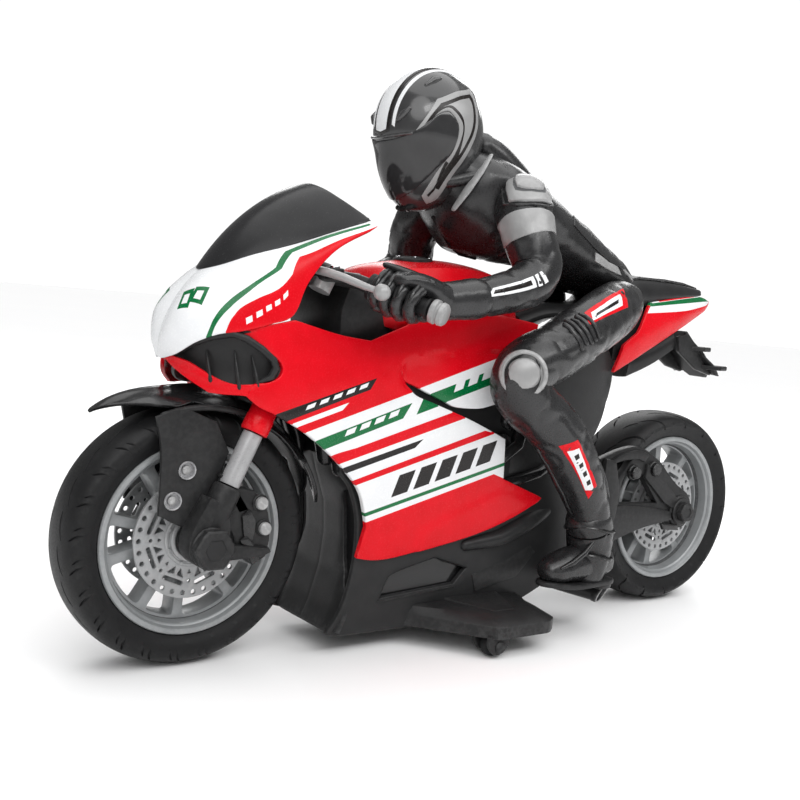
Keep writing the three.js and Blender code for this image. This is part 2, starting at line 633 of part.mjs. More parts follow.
function tankAndTail() {
  const tank = loft(TANK.map(([x, w, z0, z1]) => bodyRing(x, w, z0, z1)));
  add('fuel_tank_cover', cut(tank, block(-40, 60, -30, 30, 60, 79.6)), red);
  const saddle = loft([
    [-11.5, 9, 80, 86], [-20, 10.5, 85.5, 89.5], [-34, 11.5, 86, 90.2], [-44, 11, 86.5, 92],
    [-52, 9.5, 89, 98.6], [-64, 8.4, 92, 99.8], [-80, 6.8, 94.4, 99.4], [-91, 4.6, 96, 98.2],
  ].map(([x, w, z0, z1]) => bodyRing(x, w, z0, z1)));
  const riderRoom = limb([
    [-53, 0, 93.6, 13, 4.6], [-46, 0, 96.5, 14.8, 7.4], [-36, 0, 99.4, 14.4, 8.8], [-24, 0, 105, 14, 9],
  ], 20);
  add('seat', cut(saddle, riderRoom), black);
  const tail = loft([
    [-50, 10.6, 74, 80], [-58, 10.4, 77, 88.5], [-66, 9.6, 81, 91.4], [-80, 7.8, 87, 93.8],
    [-92, 5.2, 91.6, 95.2], [-96, 3, 92.6, 94.4],
  ].map(([x, w, z0, z1]) => bodyRing(x, w, z0, z1)));
  add('tail_cowl', tail, red);
  const holder = join(
    loft([[-60, 4, 70, 76.4], [-70, 4.6, 74, 79.6], [-80, 5, 79.6, 84.6]]
      .map(([x, w, z0, z1]) => bodyRing(x, w, z0, z1, 4))),
    plate([[-78, 84.6], [-84, 84.6], [-92, 78], [-98, 73.6], [-97.4, 71], [-90, 72.4], [-79, 79]], -6, 6),
  );
  add('plate_holder', holder, black);
}

function exhausts() {
  const pipe = rod([-36.9, 16.4, 12.8], [-44.6, 17.4, 11.6], 3.6, 16, 3.9);
  const bore = rod([-40, 16.8, 12.3], [-46, 17.6, 11.4], 2.6, 12);
  addPair('exhaust_outlet', cut(pipe, bore), black);
}

// ---------------------------------------------------------------- handlebar
const GRIP = { inner: [45.6, 21.5, 90], outer: [38.2, 33.2, 86.2] };

function handlebar() {
  const clampBody = block(46, 57, -15.5, 15.5, 90.6, 93.2);
  const tubes = [1, -1].map((s) => rod(
    onSteer(FORK.ahead, s * FORK.side, 12.4),
    [53, s * FORK.side, 92.4],
    2.5,
  ));
  const bars = [1, -1].flatMap((s) => [
    rod([51.6, s * 13, 91.6], [GRIP.inner[0], s * GRIP.inner[1], GRIP.inner[2]], 1.6),
    rod([GRIP.inner[0] + 0.6, s * (GRIP.inner[1] - 1), GRIP.inner[2] + 0.3],
      [GRIP.outer[0], s * GRIP.outer[1], GRIP.outer[2]], 1.6),
  ]);
  const levers = [1, -1].flatMap((s) => [
    rod([53, s * 13.6, 92.6], [55.2, s * 17.5, 92.4], 1.3),
    rod([55.2, s * 17.5, 92.4], [50.4, s * 30, 89.6], 0.9),
    new THREE.SphereGeometry(1.5, 8, 6).translate(50.4, s * 30, 89.6),
  ]);
  add('handlebar', join(clampBody, ...tubes, ...bars, ...levers), black);
  const direction = new THREE.Vector3(
    GRIP.outer[0] - GRIP.inner[0],
    GRIP.outer[1] - GRIP.inner[1],
    GRIP.outer[2] - GRIP.inner[2],
  ).normalize();
  const start = new THREE.Vector3(...GRIP.outer).addScaledVector(direction, GAP);
  const end = start.clone().addScaledVector(direction, 3.2);
  addPair('bar_end', rod(start.toArray(), end.toArray(), 2.6, 16, 2.2), silver);
}

// ---------------------------------------------------------------- rider figure
function rider() {
  const torso = limb([
    [-50, 0, 94.5, 12.6, 4.6], [-46, 0, 96.5, 14.4, 7], [-36, 0, 99.4, 14, 8.4], [-24, 0, 105, 13.6, 8.6],
    [-10, 0, 112, 15.6, 8.8], [0, 0, 116.6, 17.4, 8.4], [7, 0, 119, 14, 7.2], [11, 0, 121, 8.6, 5.4],
  ], 20);
  add('rider_torso', torso, leather);
  const head = new THREE.SphereGeometry(1, 16, 10).scale(14.8, 12.6, 16.2);
  const chin = new THREE.SphereGeometry(1, 12, 8).scale(9.8, 9.2, 8).translate(5.4, 0, -10.5);
  const shell = join(head, chin).rotateY(0.12).translate(18.4, 0, 130.6);
  const window = block(26, 48, -14, 14, 122.5, 134.5);
  const neck = new THREE.SphereGeometry(1, 12, 6).scale(8.4, 8, 6).translate(13, 0, 115.2);
  const torsoRoom = limb([
    [-10, 0, 112, 16.2, 9.4], [0, 0, 116.6, 18, 9], [7, 0, 119, 14.6, 7.8], [12, 0, 121.4, 9.2, 6],
  ], 20);
  add('rider_helmet', cut(shell, window, neck, torsoRoom), leather);
  const visorSkin = cut(shell, new THREE.SphereGeometry(1, 16, 10).scale(13.2, 11.2, 14.6).rotateY(0.12)
    .translate(18.4, 0, 130.6));
  add('rider_visor', common(visorSkin, block(26.3, 47, -13, 13, 122.8, 134.2)), smoke);
  arms();
  legs();
}

// A rounded ring of a glove or boot, moved out from the centre plane.
function ringBeside(side, x, w, z0, z1) {
  return bodyRing(x, w, z0, z1, 2.6, 10).map((p) => p.add(new THREE.Vector3(0, side, 0)));
}

function arms() {
  const arm = limb([
    [0.5, 18.4, 117.4, 3.4, 3.4], [-2, 20.2, 113, 6, 6.4], [-4, 23.4, 106, 5.6, 5.8],
    [-6.6, 26.6, 99, 5.2, 5.2], [-4, 28.4, 95, 4.9, 5], [6, 28.6, 91.6, 4.8, 4.8],
    [18, 28, 89, 4.2, 4.2], [32, 27.6, 87.8, 3.8, 3.6],
  ], 10);
  const hand = loft([
    [30.5, 3.2, 84.6, 91.6], [35, 5, 83.4, 93], [42, 5.4, 83.6, 93.2],
    [48, 4.6, 85.4, 92.4], [50, 3, 87, 91],
  ].map(([x, w, z0, z1]) => ringBeside(27, x, w, z0, z1)));
  const from = new THREE.Vector3(...GRIP.inner);
  const to = new THREE.Vector3(...GRIP.outer);
  const direction = to.clone().sub(from).normalize();
  const gripRoom = rod(
    from.addScaledVector(direction, -6).toArray(),
    to.addScaledVector(direction, 8).toArray(),
    3,
  );
  const leverRoom = rod([57.1, 12.5, 93.5], [49.1, 33.5, 88.8], 1.9);
  const torsoRoom = limb([
    [-24, 0, 105, 14, 9], [-10, 0, 112, 16, 9.2], [0, 0, 116.6, 17.8, 8.8], [7, 0, 119, 14.4, 7.6],
    [11, 0, 121, 9, 5.8],
  ], 20);
  addPair('rider_arm', cut(join(arm, hand), gripRoom, leverRoom, torsoRoom), leather);
}

function legs() {
  const thigh = limb([
    [-44, 15.2, 92, 5, 6.4], [-38, 17.6, 90, 6.8, 7.6], [-24, 22.6, 84.6, 7, 7.4],
    [-8, 26.6, 77, 6.4, 6.8], [2, 28, 71.6, 6, 6.6], [4, 28.2, 66, 5.2, 6.2],
    [-2, 27.6, 58, 4.8, 6], [-12, 26.6, 46, 4.6, 5.8], [-20, 25.4, 35, 4.2, 5],
    [-27.5, 24.2, 20, 3.6, 4],
  ], 10);
  const boot = loft([
    [-36, 2.8, 13.6, 21], [-33, 3.8, 12, 26], [-27, 4.2, 12, 26], [-19, 4.4, 13.4, 23],
    [-12, 4, 15, 21.4], [-9.5, 2.6, 16.4, 20.2],
  ].map(([x, w, z0, z1]) => ringBeside(24.4, x, w, z0, z1)));
  const torsoRoom = limb([
    [-54, 0, 92, 12.6, 4.8], [-46, 0, 96.5, 14.8, 7.4], [-36, 0, 99.4, 14.4, 8.8], [-24, 0, 105, 14, 9],
  ], 20);
  const bodyRoom = block(-60, 60, -5, PANEL.outer + GAP, 0, 84);
  const seatRoom = block(-60, 20, -5, 12, 60, 92.4);
  const leg = cut(join(thigh, boot), torsoRoom, bodyRoom, seatRoom);
  const padSeat = rod([3, 31.4, 70], [6, 37, 71], 6.6, 24);
  addPair('rider_leg', cut(leg, padSeat), leather);
  addPair('knee_pad', rod([3.4, 31.8, 70.1], [4.8, 34.4, 70.6], 6, 24, 4.6), silver);
}

frontWheel();
rearWheel();
add('fork_crown', forkCrown(), black);
forkLeg();
frontAxle();
fender();
chassis();
electrics();
pod();
driveTrain();
swingarms();
servo();
sideFairings();
nose();
intake();
tankAndTail();
exhausts();
handlebar();
rider();
export default group;
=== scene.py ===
"""A radio controlled racing motorcycle with its rider figure: its visible surfaces over the CAD model.

Lengths in this file are millimetres in the model's own frame, +X forward, +Y to the rider's left and +Z up.
They become metres in one place, Shape.emit. Each piece is a Shape: vertices, faces and one finish a face.
"""

import math

import bmesh
import bpy
from mathutils import Matrix, Vector, noise
from mathutils.geometry import delaunay_2d_cdt


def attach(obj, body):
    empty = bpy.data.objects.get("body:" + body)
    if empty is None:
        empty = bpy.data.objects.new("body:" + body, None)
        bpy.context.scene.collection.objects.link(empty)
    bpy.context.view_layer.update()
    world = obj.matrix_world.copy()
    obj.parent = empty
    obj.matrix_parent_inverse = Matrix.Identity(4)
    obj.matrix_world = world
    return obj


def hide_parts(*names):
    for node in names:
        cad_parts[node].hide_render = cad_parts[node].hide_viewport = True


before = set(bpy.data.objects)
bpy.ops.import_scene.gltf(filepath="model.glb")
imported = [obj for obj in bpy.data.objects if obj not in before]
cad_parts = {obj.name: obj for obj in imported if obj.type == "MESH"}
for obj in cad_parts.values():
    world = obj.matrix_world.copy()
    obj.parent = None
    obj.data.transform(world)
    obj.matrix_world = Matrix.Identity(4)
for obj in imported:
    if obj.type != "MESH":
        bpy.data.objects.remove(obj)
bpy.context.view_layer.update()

MM = 0.001
FRONT_AXLE = Vector((80.3, 0, 30))
REAR_AXLE = Vector((-80.7, 0, 29.6))
RAKE = math.radians(24)
STEER_POINT = Vector((61.9, 0, 66))
STEER_UP = Vector((-math.sin(RAKE), 0, math.cos(RAKE)))
STEER_AHEAD = Vector((math.cos(RAKE), 0, math.sin(RAKE)))
FORK_Y = 12.5
RIM_OUTER, RIM_INNER = 22.0, 19.6


def on_steer(ahead, y, up):
    """A point given from the steering axis: how far ahead of it, across, and up along it."""
    return STEER_POINT + STEER_AHEAD * ahead + STEER_UP * up + Vector((0, y, 0))


def lerp(a, b, t):
    return a + (b - a) * t


def smoothstep(a, b, t):
    t = min(max((t - a) / (b - a), 0), 1)
    return t * t * (3 - 2 * t)


def table(rows, at):
    """Reads a table of (position, value, ...) rows at a position, with straight lines between the rows."""
    if at <= rows[0][0]:
        return rows[0][1:]
    for a, b in zip(rows, rows[1:]):
        if at <= b[0]:
            t = (at - a[0]) / (b[0] - a[0])
            return tuple(lerp(p, q, t) for p, q in zip(a[1:], b[1:]))
    return rows[-1][1:]


def catmull(p0, p1, p2, p3, t):
    """A point on the Catmull-Rom curve between p1 and p2."""
    return 0.5 * (2 * p1 + (p2 - p0) * t + (2 * p0 - 5 * p1 + 4 * p2 - p3) * t * t + (
        3 * p1 - p0 - 3 * p2 + p3) * t**3)


def curve(points, step=1.0, closed=True, dims=2):
    """A smooth curve through points. A value past the coordinates marks a sharp corner."""
    pts = [Vector(p[:dims]) for p in points]
    sharp = [len(p) > dims for p in points]
    n = len(pts)
    if not closed:
        sharp[0] = sharp[-1] = True
    out = []
    for i in range(n if closed else n - 1):
        j = (i + 1) % n
        p1, p2 = pts[i], pts[j]
        count = max(1, round((p2 - p1).length / step))
        if sharp[i] and sharp[j]:
            out += [p1.lerp(p2, k / count) for k in range(count)]
            continue
        p0 = 2 * p1 - p2 if sharp[i] else pts[i - 1]
        p3 = 2 * p2 - p1 if sharp[j] else pts[(j + 1) % n]
        out += [catmull(p0, p1, p2, p3, k / count) for k in range(count)]
    return out if closed else out + [pts[-1]]


def area(loop):
    return sum(a.x * b.y - b.x * a.y for a, b in zip(loop, loop[1:] + loop[:1])) / 2


def wound(loop):
    """The loop, turning anticlockwise."""
    loop = [Vector(p[:2]) for p in loop]
    return loop if area(loop) > 0 else loop[::-1]


def inside(p, loop):
    hit = False
    for a, b in zip(loop, loop[1:] + loop[:1]):
        if (a.y > p.y) != (b.y > p.y) and p.x < (b.x - a.x) * (p.y - a.y) / (b.y - a.y) + a.x:
            hit = not hit
    return hit


def near(p, loop, gap):
    """True if p lies within gap of the loop's line."""
    for a, b in zip(loop, loop[1:] + loop[:1]):
        ab = b - a
        t = min(max((p - a).dot(ab) / max(ab.length_squared, 1e-12), 0), 1)
        if (p - a - ab * t).length_squared < gap * gap:
            return True
    return False


def outwards(loop):
    """The direction out of an anticlockwise loop at each of its points, lengthened at corners."""
    out = []
    for a, b, c in zip(loop[-1:] + loop[:-1], loop, loop[1:] + loop[:1]):
        n1 = Vector((b.y - a.y, a.x - b.x)).normalized()
        n2 = Vector((c.y - b.y, b.x - c.x)).normalized()
        n = n1 + n2
        n = n.normalized() if n.length > 1e-6 else n1
        out.append(n / max(n.dot(n1), 0.5))
    return out


def moved(loop, by):
    """The loop with every point moved out by a distance."""
    return [p + n * by for p, n in zip(loop, outwards(loop))]


def circle(x, y, r, n=24, start=0.0):
    return [Vector((x + r * math.cos(start + math.tau * k / n),
        y + r * math.sin(start + math.tau * k / n))) for k in range(n)]


def triangles(loop, holes=(), prints=(), loose=()):
    """Triangles that fill a loop round its holes, each with the number of its last print, or -1."""
    rings = [wound(loop)] + [wound(h) for h in holes] + [wound(p) for p, _ in prints]
    verts, faces = [], []
    for ring in rings:
        faces.append(list(range(len(verts), len(verts) + len(ring))))
        verts += ring
    result = delaunay_2d_cdt(verts + list(loose), [], faces, 1, 1e-5, True)
    points, tris, owners = result[0], result[2], result[5]
    first = 1 + len(holes)
    kept = []
    for tri, owner in zip(tris, owners):
        if 0 in owner and not any(1 <= o < first for o in owner):
            kept.append((tri, max([o - first for o in owner if o >= first], default=-1)))
    return points, kept


def grid(loop, avoid, step, gap):
    """Points on a staggered grid inside a loop and clear of the lines to avoid."""
    lo_x, hi_x = min(p.x for p in loop), max(p.x for p in loop)
    lo_y, hi_y = min(p.y for p in loop), max(p.y for p in loop)
    lines = [loop] + list(avoid)
    out = []
    row = 0
    y = lo_y + step / 2
    while y < hi_y:
        x = lo_x + step / 2 + (step / 2 if row % 2 else 0)
        while x < hi_x:
            p = Vector((x, y))
            if inside(p, loop) and not any(near(p, line, gap) for line in lines):
                out.append(p)
            x += step
        y += step * 0.87
        row += 1
    return out


class Shape:
    """Vertices in millimetres, faces, and the finish of each face."""

    def __init__(self):
        self.verts, self.faces, self.finish = [], [], []

    def add(self, verts, faces, finish):
        """Adds vertices, and faces with one finish or a finish each."""
        base = len(self.verts)
        self.verts += [Vector(v) for v in verts]
        self.faces += [tuple(i + base for i in f) for f in faces]
        self.finish += [finish] * len(faces) if isinstance(finish, str) else list(finish)
        return self

    def join(self, *others):
        for o in others:
            self.add(o.verts, o.faces, o.finish)
        return self

    def turned(self, matrix):
        new = Shape()
        new.add([matrix @ v for v in self.verts], self.faces, self.finish)
        return new

    def mirrored(self):
        """The same shape on the other side of the machine."""
        new = Shape()
        new.add([(v.x, -v.y, v.z) for v in self.verts], [f[::-1] for f in self.faces], self.finish)
        return new

    def both_sides(self):
        return Shape().join(self, self.mirrored())

    def emit(self, name, body, nodes=(), slot=None, crease=32, weld=0.0, refine=0):
        """Makes the Blender object, in metres, riding on a body and standing for CAD nodes."""
        mesh = bpy.data.meshes.new(name)
        mesh.from_pydata([v * MM for v in self.verts], [], self.faces)
        names = sorted(set(self.finish))
        for n in names:
            mesh.materials.append(FINISHES[n])
        mesh.polygons.foreach_set("material_index", [names.index(n) for n in self.finish])
        bm = bmesh.new()
        bm.from_mesh(mesh)
        if weld:
            bmesh.ops.remove_doubles(bm, verts=bm.verts, dist=weld * MM)
        bmesh.ops.dissolve_degenerate(bm, edges=bm.edges, dist=1e-7)
        bmesh.ops.delete(bm, geom=[v for v in bm.verts if not v.link_faces], context="VERTS")
        bmesh.ops.recalc_face_normals(bm, faces=bm.faces)
        limit = math.radians(crease)
        for f in bm.faces:
            f.smooth = True
        for e in bm.edges:
            e.smooth = len(e.link_faces) == 2 and e.calc_face_angle(0) < limit
        bm.to_mesh(mesh)
        bm.free()
        ob = bpy.data.objects.new(name, mesh)
        bpy.context.scene.collection.objects.link(ob)
        if refine:
            mod = ob.modifiers.new("refine", "SUBSURF")
            mod.levels = mod.render_levels = refine
        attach(ob, body)
        if nodes:
            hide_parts(*nodes)
        return ob


def numeric_normal(surface, u, v, eps=0.05):
    du = surface(u + eps, v) - surface(u - eps, v)
    dv = surface(u, v + eps) - surface(u, v - eps)
    return du.cross(dv).normalized()


def skin(edge, surface, finish, prints=(), holes=(), step=1.8, thick=1.0, rim=0.25, out=1, back=None,
        eps=0.05):
    """A curved panel with rounded edges: a flat outline laid on surface(u, v), with printed areas and holes.

    out is 1 or -1 and picks the visible side. prints are (loop, finish) pairs, and the last one wins.
    """
    edge = wound(edge)
    holes = [wound(h) for h in holes]
    lines = holes + [wound(p) for p, _ in prints]
    loose = grid(edge, lines, step, step * 0.45) if step else []
    points, tris = triangles(edge, holes, prints, loose)
    here = [surface(p.x, p.y) for p in points]
    up = [numeric_normal(surface, p.x, p.y, eps) * out for p in points]
    shape = Shape()
    top = [tri for tri, _ in tris]
    colour = [prints[k][1] if k >= 0 else finish for _, k in tris]
    n = len(points)
    faces, finishes = list(top), list(colour)
    under = {}
    verts = list(here)
    used = sorted({i for tri in top for i in tri})
    for i in used:
        under[i] = len(verts)
        verts.append(here[i] - up[i] * thick)
    faces += [tuple(under[i] for i in tri[::-1]) for tri in top]
    finishes += [back or finish] * len(top)
    # each open edge of the top gets a rounded rim down to the underside
    count = {}
    for tri, c in zip(top, colour):
        for a, b in zip(tri, tri[1:] + tri[:1]):
            count[frozenset((a, b))] = count.get(frozenset((a, b)), 0) + 1
    border = [(a, b, c) for tri, c in zip(top, colour) for a, b in zip(tri, tri[1:] + tri[:1])
        if count[frozenset((a, b))] == 1]
    away = {}
    for a, b, _ in border:
        d = points[b] - points[a]
        side = Vector((d.y, -d.x)).normalized()
        for i in (a, b):
            away[i] = away.get(i, Vector((0, 0))) + side
    rows = {}
    for i, d in away.items():
        d = d.normalized() if d.length > 1e-6 else d
        h = 0.02
        p, q = points[i], points[i] + d * h
        tangent = surface(q.x, q.y) - here[i]
        tangent = tangent.normalized() if tangent.length > 1e-9 else tangent
        rows[i] = [i]
        for k in (1, 2, 3):
            a = math.radians(30 * k)
            rows[i].append(len(verts))
            verts.append(here[i] + tangent * rim * math.sin(a) - up[i] * rim * (1 - math.cos(a)))
        rows[i].append(len(verts))
        verts.append(here[i] + tangent * rim - up[i] * max(thick - rim * 0.5, rim))
        rows[i].append(under[i])
    for a, b, c in border:
        for k in range(5):
            faces.append((rows[b][k], rows[a][k], rows[a][k + 1], rows[b][k + 1]))
            finishes.append(c)
    return shape.add(verts, faces, finishes)


def slab(edge, lo, hi, finish, holes=(), bevel=0.3, place=None, steps=2):
    """A flat plate with rounded edges. place(u, v, w) puts outline point (u, v) at height w, lo to hi."""
    place = place or (lambda u, v, w: Vector((u, w, v)))
    loops = [wound(edge)] + [wound(h) for h in holes]
    count = sum(len(loop) for loop in loops)
    for _ in range(5):
        inset = [moved(loops[0], -bevel)] + [moved(h, bevel) for h in loops[1:]]
        points, tris = triangles(inset[0], inset[1:])
        if len(points) == count:
            break
        # the rounded edge is too wide for a tight corner, so it narrows
        bevel *= 0.6
    else:
        raise ValueError("a slab's outline crosses itself")
    shape = Shape()
    flat = [tri for tri, _ in tris]
    n = len(points)
    verts = [place(p.x, p.y, hi) for p in points] + [place(p.x, p.y, lo) for p in points]
    faces = flat + [tuple(i + n for i in tri[::-1]) for tri in flat]
    start = 0
    for k, (true, small) in enumerate(zip(loops, inset)):
        m = len(true)
        rows = [[start + i for i in range(m)]]
        for end, sign in ((hi, -1), (lo, 1)):
            angles = range(1, steps + 1) if end == hi else range(steps, 0, -1)
            for a in angles:
                t = math.radians(90 * a / steps)
                rows.append(list(range(len(verts), len(verts) + m)))
                for p, q in zip(true, small):
                    r = q.lerp(p, math.sin(t))
                    verts.append(place(r.x, r.y, end + sign * bevel * (1 - math.cos(t))))
        rows.append([start + n + i for i in range(m)])
        for upper, lower in zip(rows, rows[1:]):
            for i in range(m):
                j = (i + 1) % m
                face = (upper[i], lower[i], lower[j], upper[j])
                faces.append(face if k == 0 else face)
        start += m
    return shape.add(verts, faces, finish)


def lathe(profile, centre, finish, segments=96, axis="y", finishes=None, closed=True):
    """A turned body: profile points are (radius, distance along the axis)."""
    shape = Shape()
    verts = []
    for k in range(segments):
        a = math.tau * k / segments
        for r, w in profile:
            c, s = r * math.cos(a), r * math.sin(a)
            verts.append(Vector({"y": (c, w, s), "z": (c, s, w), "x": (w, c, s)}[axis]) + Vector(centre))
    m = len(profile)
    faces, colours = [], []
    for k in range(segments):
        for i in range(m if closed else m - 1):
            j, n = (i + 1) % m, (k + 1) % segments
            faces.append((k * m + i, k * m + j, n * m + j, n * m + i))
            colours.append(finishes[i] if finishes else finish)
    return shape.add(verts, faces, colours)


def basis(direction):
    """Two directions square to one, and it."""
    w = Vector(direction).normalized()
    u = w.cross(Vector((0, 0, 1)) if abs(w.z) < 0.9 else Vector((1, 0, 0))).normalized()
    return u, w.cross(u), w


def rings(loops, finish, caps=True, finishes=None):
    """A body through closed loops that all have the same number of points."""
    shape = Shape()
    m = len(loops[0])
    verts = [p for loop in loops for p in loop]
    faces, colours = [], []
    for k in range(len(loops) - 1):
        for i in range(m):
            j = (i + 1) % m
            faces.append((k * m + i, k * m + j, (k + 1) * m + j, (k + 1) * m + i))
            colours.append(finishes(k, i) if finishes else finish)
    if caps:
        for k, loop in ((0, loops[0]), (len(loops) - 1, loops[-1])):
            verts.append(sum(loop, Vector()) / m)
            tip = len(verts) - 1
            for i in range(m):
                faces.append((tip, k * m + i, k * m + (i + 1) % m))
                colours.append(finishes(min(k, len(loops) - 2), i) if finishes else finish)
    return shape.add(verts, faces, colours)


def tube(path, radius, finish, sides=20, round_ends=True, squash=1.0):
    """A round bar along a path of points; radius is a number or one for each point."""
    path = [Vector(p) for p in path]
    radii = list(radius) if hasattr(radius, "__len__") else [radius] * len(path)
    stations = []
    for i, p in enumerate(path):
        d = (path[min(i + 1, len(path) - 1)] - path[max(i - 1, 0)]).normalized()
        stations.append((p, d, radii[i]))
    if round_ends:
        first, last = stations[0], stations[-1]
        head = [(first[0] - first[1] * first[2] * math.sin(a), first[1], first[2] * math.cos(a))
            for a in (1.45, 1.1, 0.7, 0.35)]
        tail = [(last[0] + last[1] * last[2] * math.sin(a), last[1], last[2] * math.cos(a)) for a in (0.35,
            0.7, 1.1, 1.45)]
        stations = head + stations + tail
    loops = []
    side = None
    for p, d, r in stations:
        if side is None:
            side = basis(d)[0]
        side = (side - d * side.dot(d)).normalized()
        other = d.cross(side)
        loops.append([p + side * (r * math.cos(a)) + other * (r * squash * math.sin(a))
            for a in [math.tau * k / sides for k in range(sides)]])
    return rings(loops, finish)


def turned_on(profile, base, direction, finish, segments=24, start=0.0, flats=0):
    """A turned body on any axis: profile points are (radius, distance along the direction from the base)."""
    u, v, w = basis(direction)
    base = Vector(base)
    loops = []
    for r, d in profile:
        loop = []
        for k in range(segments):
            a = start + math.tau * k / segments
            reach = r / math.cos((a * flats / math.tau % 1 - 0.5) * math.tau / flats) if flats else r
            loop.append(base + w * d + (u * math.cos(a) + v * math.sin(a)) * reach)
        loops.append(loop)
    return rings(loops, finish)


def bolt(base, direction, radius, height, finish, socket=True):
    """A round screw head with a rounded edge and a hexagon socket."""
    e = min(0.3, radius * 0.25, height * 0.4)
    profile = [(radius, 0), (radius, height - e), (radius - e * 0.3, height - e * 0.3),
        (radius - e, height)]
    if socket:
        profile += [(radius * 0.5, height), (radius * 0.46, height - 0.12),
            (radius * 0.42, height - min(0.5, height * 0.6))]
    return turned_on(profile, base, direction, finish, 24)


def hexagon(base, direction, radius, height, finish, start=0.0):
    """A hexagon nut with a chamfered top."""
    profile = [(radius * 0.86, -0.1), (radius, 0.25), (radius, height - 0.35), (radius * 0.9, height),
        (radius * 0.55, height), (radius * 0.5, height - 0.25)]
    return turned_on(profile, base, direction, finish, 24, start, 6)


def link(tree, a, b):
    tree.links.new(a, b)


def ramp(tree, source, stops):
    """A colour ramp over a factor; stops are (position, grey or colour)."""
    node = tree.nodes.new("ShaderNodeValToRGB")
    link(tree, source, node.inputs["Fac"])
    while len(node.color_ramp.elements) < len(stops):
        node.color_ramp.elements.new(0.5)
    for e, (at, value) in zip(node.color_ramp.elements, stops):
        e.position = at
        e.color = (value, value, value, 1) if isinstance(value, float) else (*value, 1)
    return node.outputs["Color"]


def grain(tree, scale, detail=3.0, stretch=None, rough=0.55):
    """Noise in the model's own coordinates; scale is in features a metre."""
    coord = tree.nodes.new("ShaderNodeTexCoord")
    source = coord.outputs["Object"]
    if stretch:
        m = tree.nodes.new("ShaderNodeMapping")
        m.inputs["Scale"].default_value = stretch
        link(tree, source, m.inputs["Vector"])
        source = m.outputs["Vector"]
    n = tree.nodes.new("ShaderNodeTexNoise")
    n.inputs["Scale"].default_value = scale
    n.inputs["Detail"].default_value = detail
    n.inputs["Roughness"].default_value = rough
    link(tree, source, n.inputs["Vector"])
    return n.outputs["Fac"]


def mix(tree, factor, a, b):
    node = tree.nodes.new("ShaderNodeMix")
    node.data_type = "RGBA"
    link(tree, factor, node.inputs["Factor"])
    for socket, value in ((node.inputs[6], a), (node.inputs[7], b)):
        if isinstance(value, tuple):
            socket.default_value = (*value, 1)
        else:
            link(tree, value, socket)
    return node.outputs[2]


def finish(name, colour, shade, wear, rough=(0.2, 0.3), metal=0.0, coat=0.0, coat_rough=0.05, ior=1.5,
        shine=0.5, tint=240.0,
           grit=2600.0, bump=0.06, stretch=None, worn=0.5, sheen=0.0, wrinkle=0.0):
    """A moulded or painted surface: two close tints, a paler worn edge, and fine grit."""
    m = bpy.data.materials.new(name)
    m.use_nodes = True
    t = m.node_tree
    b = t.nodes["Principled BSDF"]
    b.inputs["Metallic"].default_value = metal
    b.inputs["IOR"].default_value = ior
    b.inputs["Specular IOR Level"].default_value = shine
    b.inputs["Coat Weight"].default_value = coat
    b.inputs["Coat Roughness"].default_value = coat_rough
    b.inputs["Sheen Weight"].default_value = sheen
    b.inputs["Sheen Roughness"].default_value = 0.4
    broad = grain(t, tint, 4.0, stretch)
    fine = grain(t, grit, 2.0, stretch)
    base = mix(t, ramp(t, broad, ((0.35, 0.0), (0.68, 1.0))), colour, shade)
    geometry = t.nodes.new("ShaderNodeNewGeometry")
    edge = ramp(t, geometry.outputs["Pointiness"], ((0.52, 0.0), (0.60, 1.0)))
    scuff = ramp(t, grain(t, 900.0, 3.0), ((0.42, 0.0), (0.62, worn)))
    both = t.nodes.new("ShaderNodeMath")
    both.operation = "MULTIPLY"
    link(t, edge, both.inputs[0])
    link(t, scuff, both.inputs[1])
    link(t, mix(t, both.outputs[0], base, wear), b.inputs["Base Color"])
    link(t, ramp(t, fine, ((0.3, rough[0]), (0.7, rough[1]))), b.inputs["Roughness"])
    relief = t.nodes.new("ShaderNodeBump")
    relief.inputs["Strength"].default_value = bump
    relief.inputs["Distance"].default_value = 0.0001
    link(t, fine, relief.inputs["Height"])
    normal = relief.outputs["Normal"]
    if wrinkle:
        crease = t.nodes.new("ShaderNodeBump")
        crease.inputs["Strength"].default_value = wrinkle
        crease.inputs["Distance"].default_value = 0.0006
        link(t, grain(t, 320.0, 2.5, (1, 1, 0.45)), crease.inputs["Height"])
        link(t, normal, crease.inputs["Normal"])
        normal = crease.outputs["Normal"]
    link(t, normal, b.inputs["Normal"])
    return m


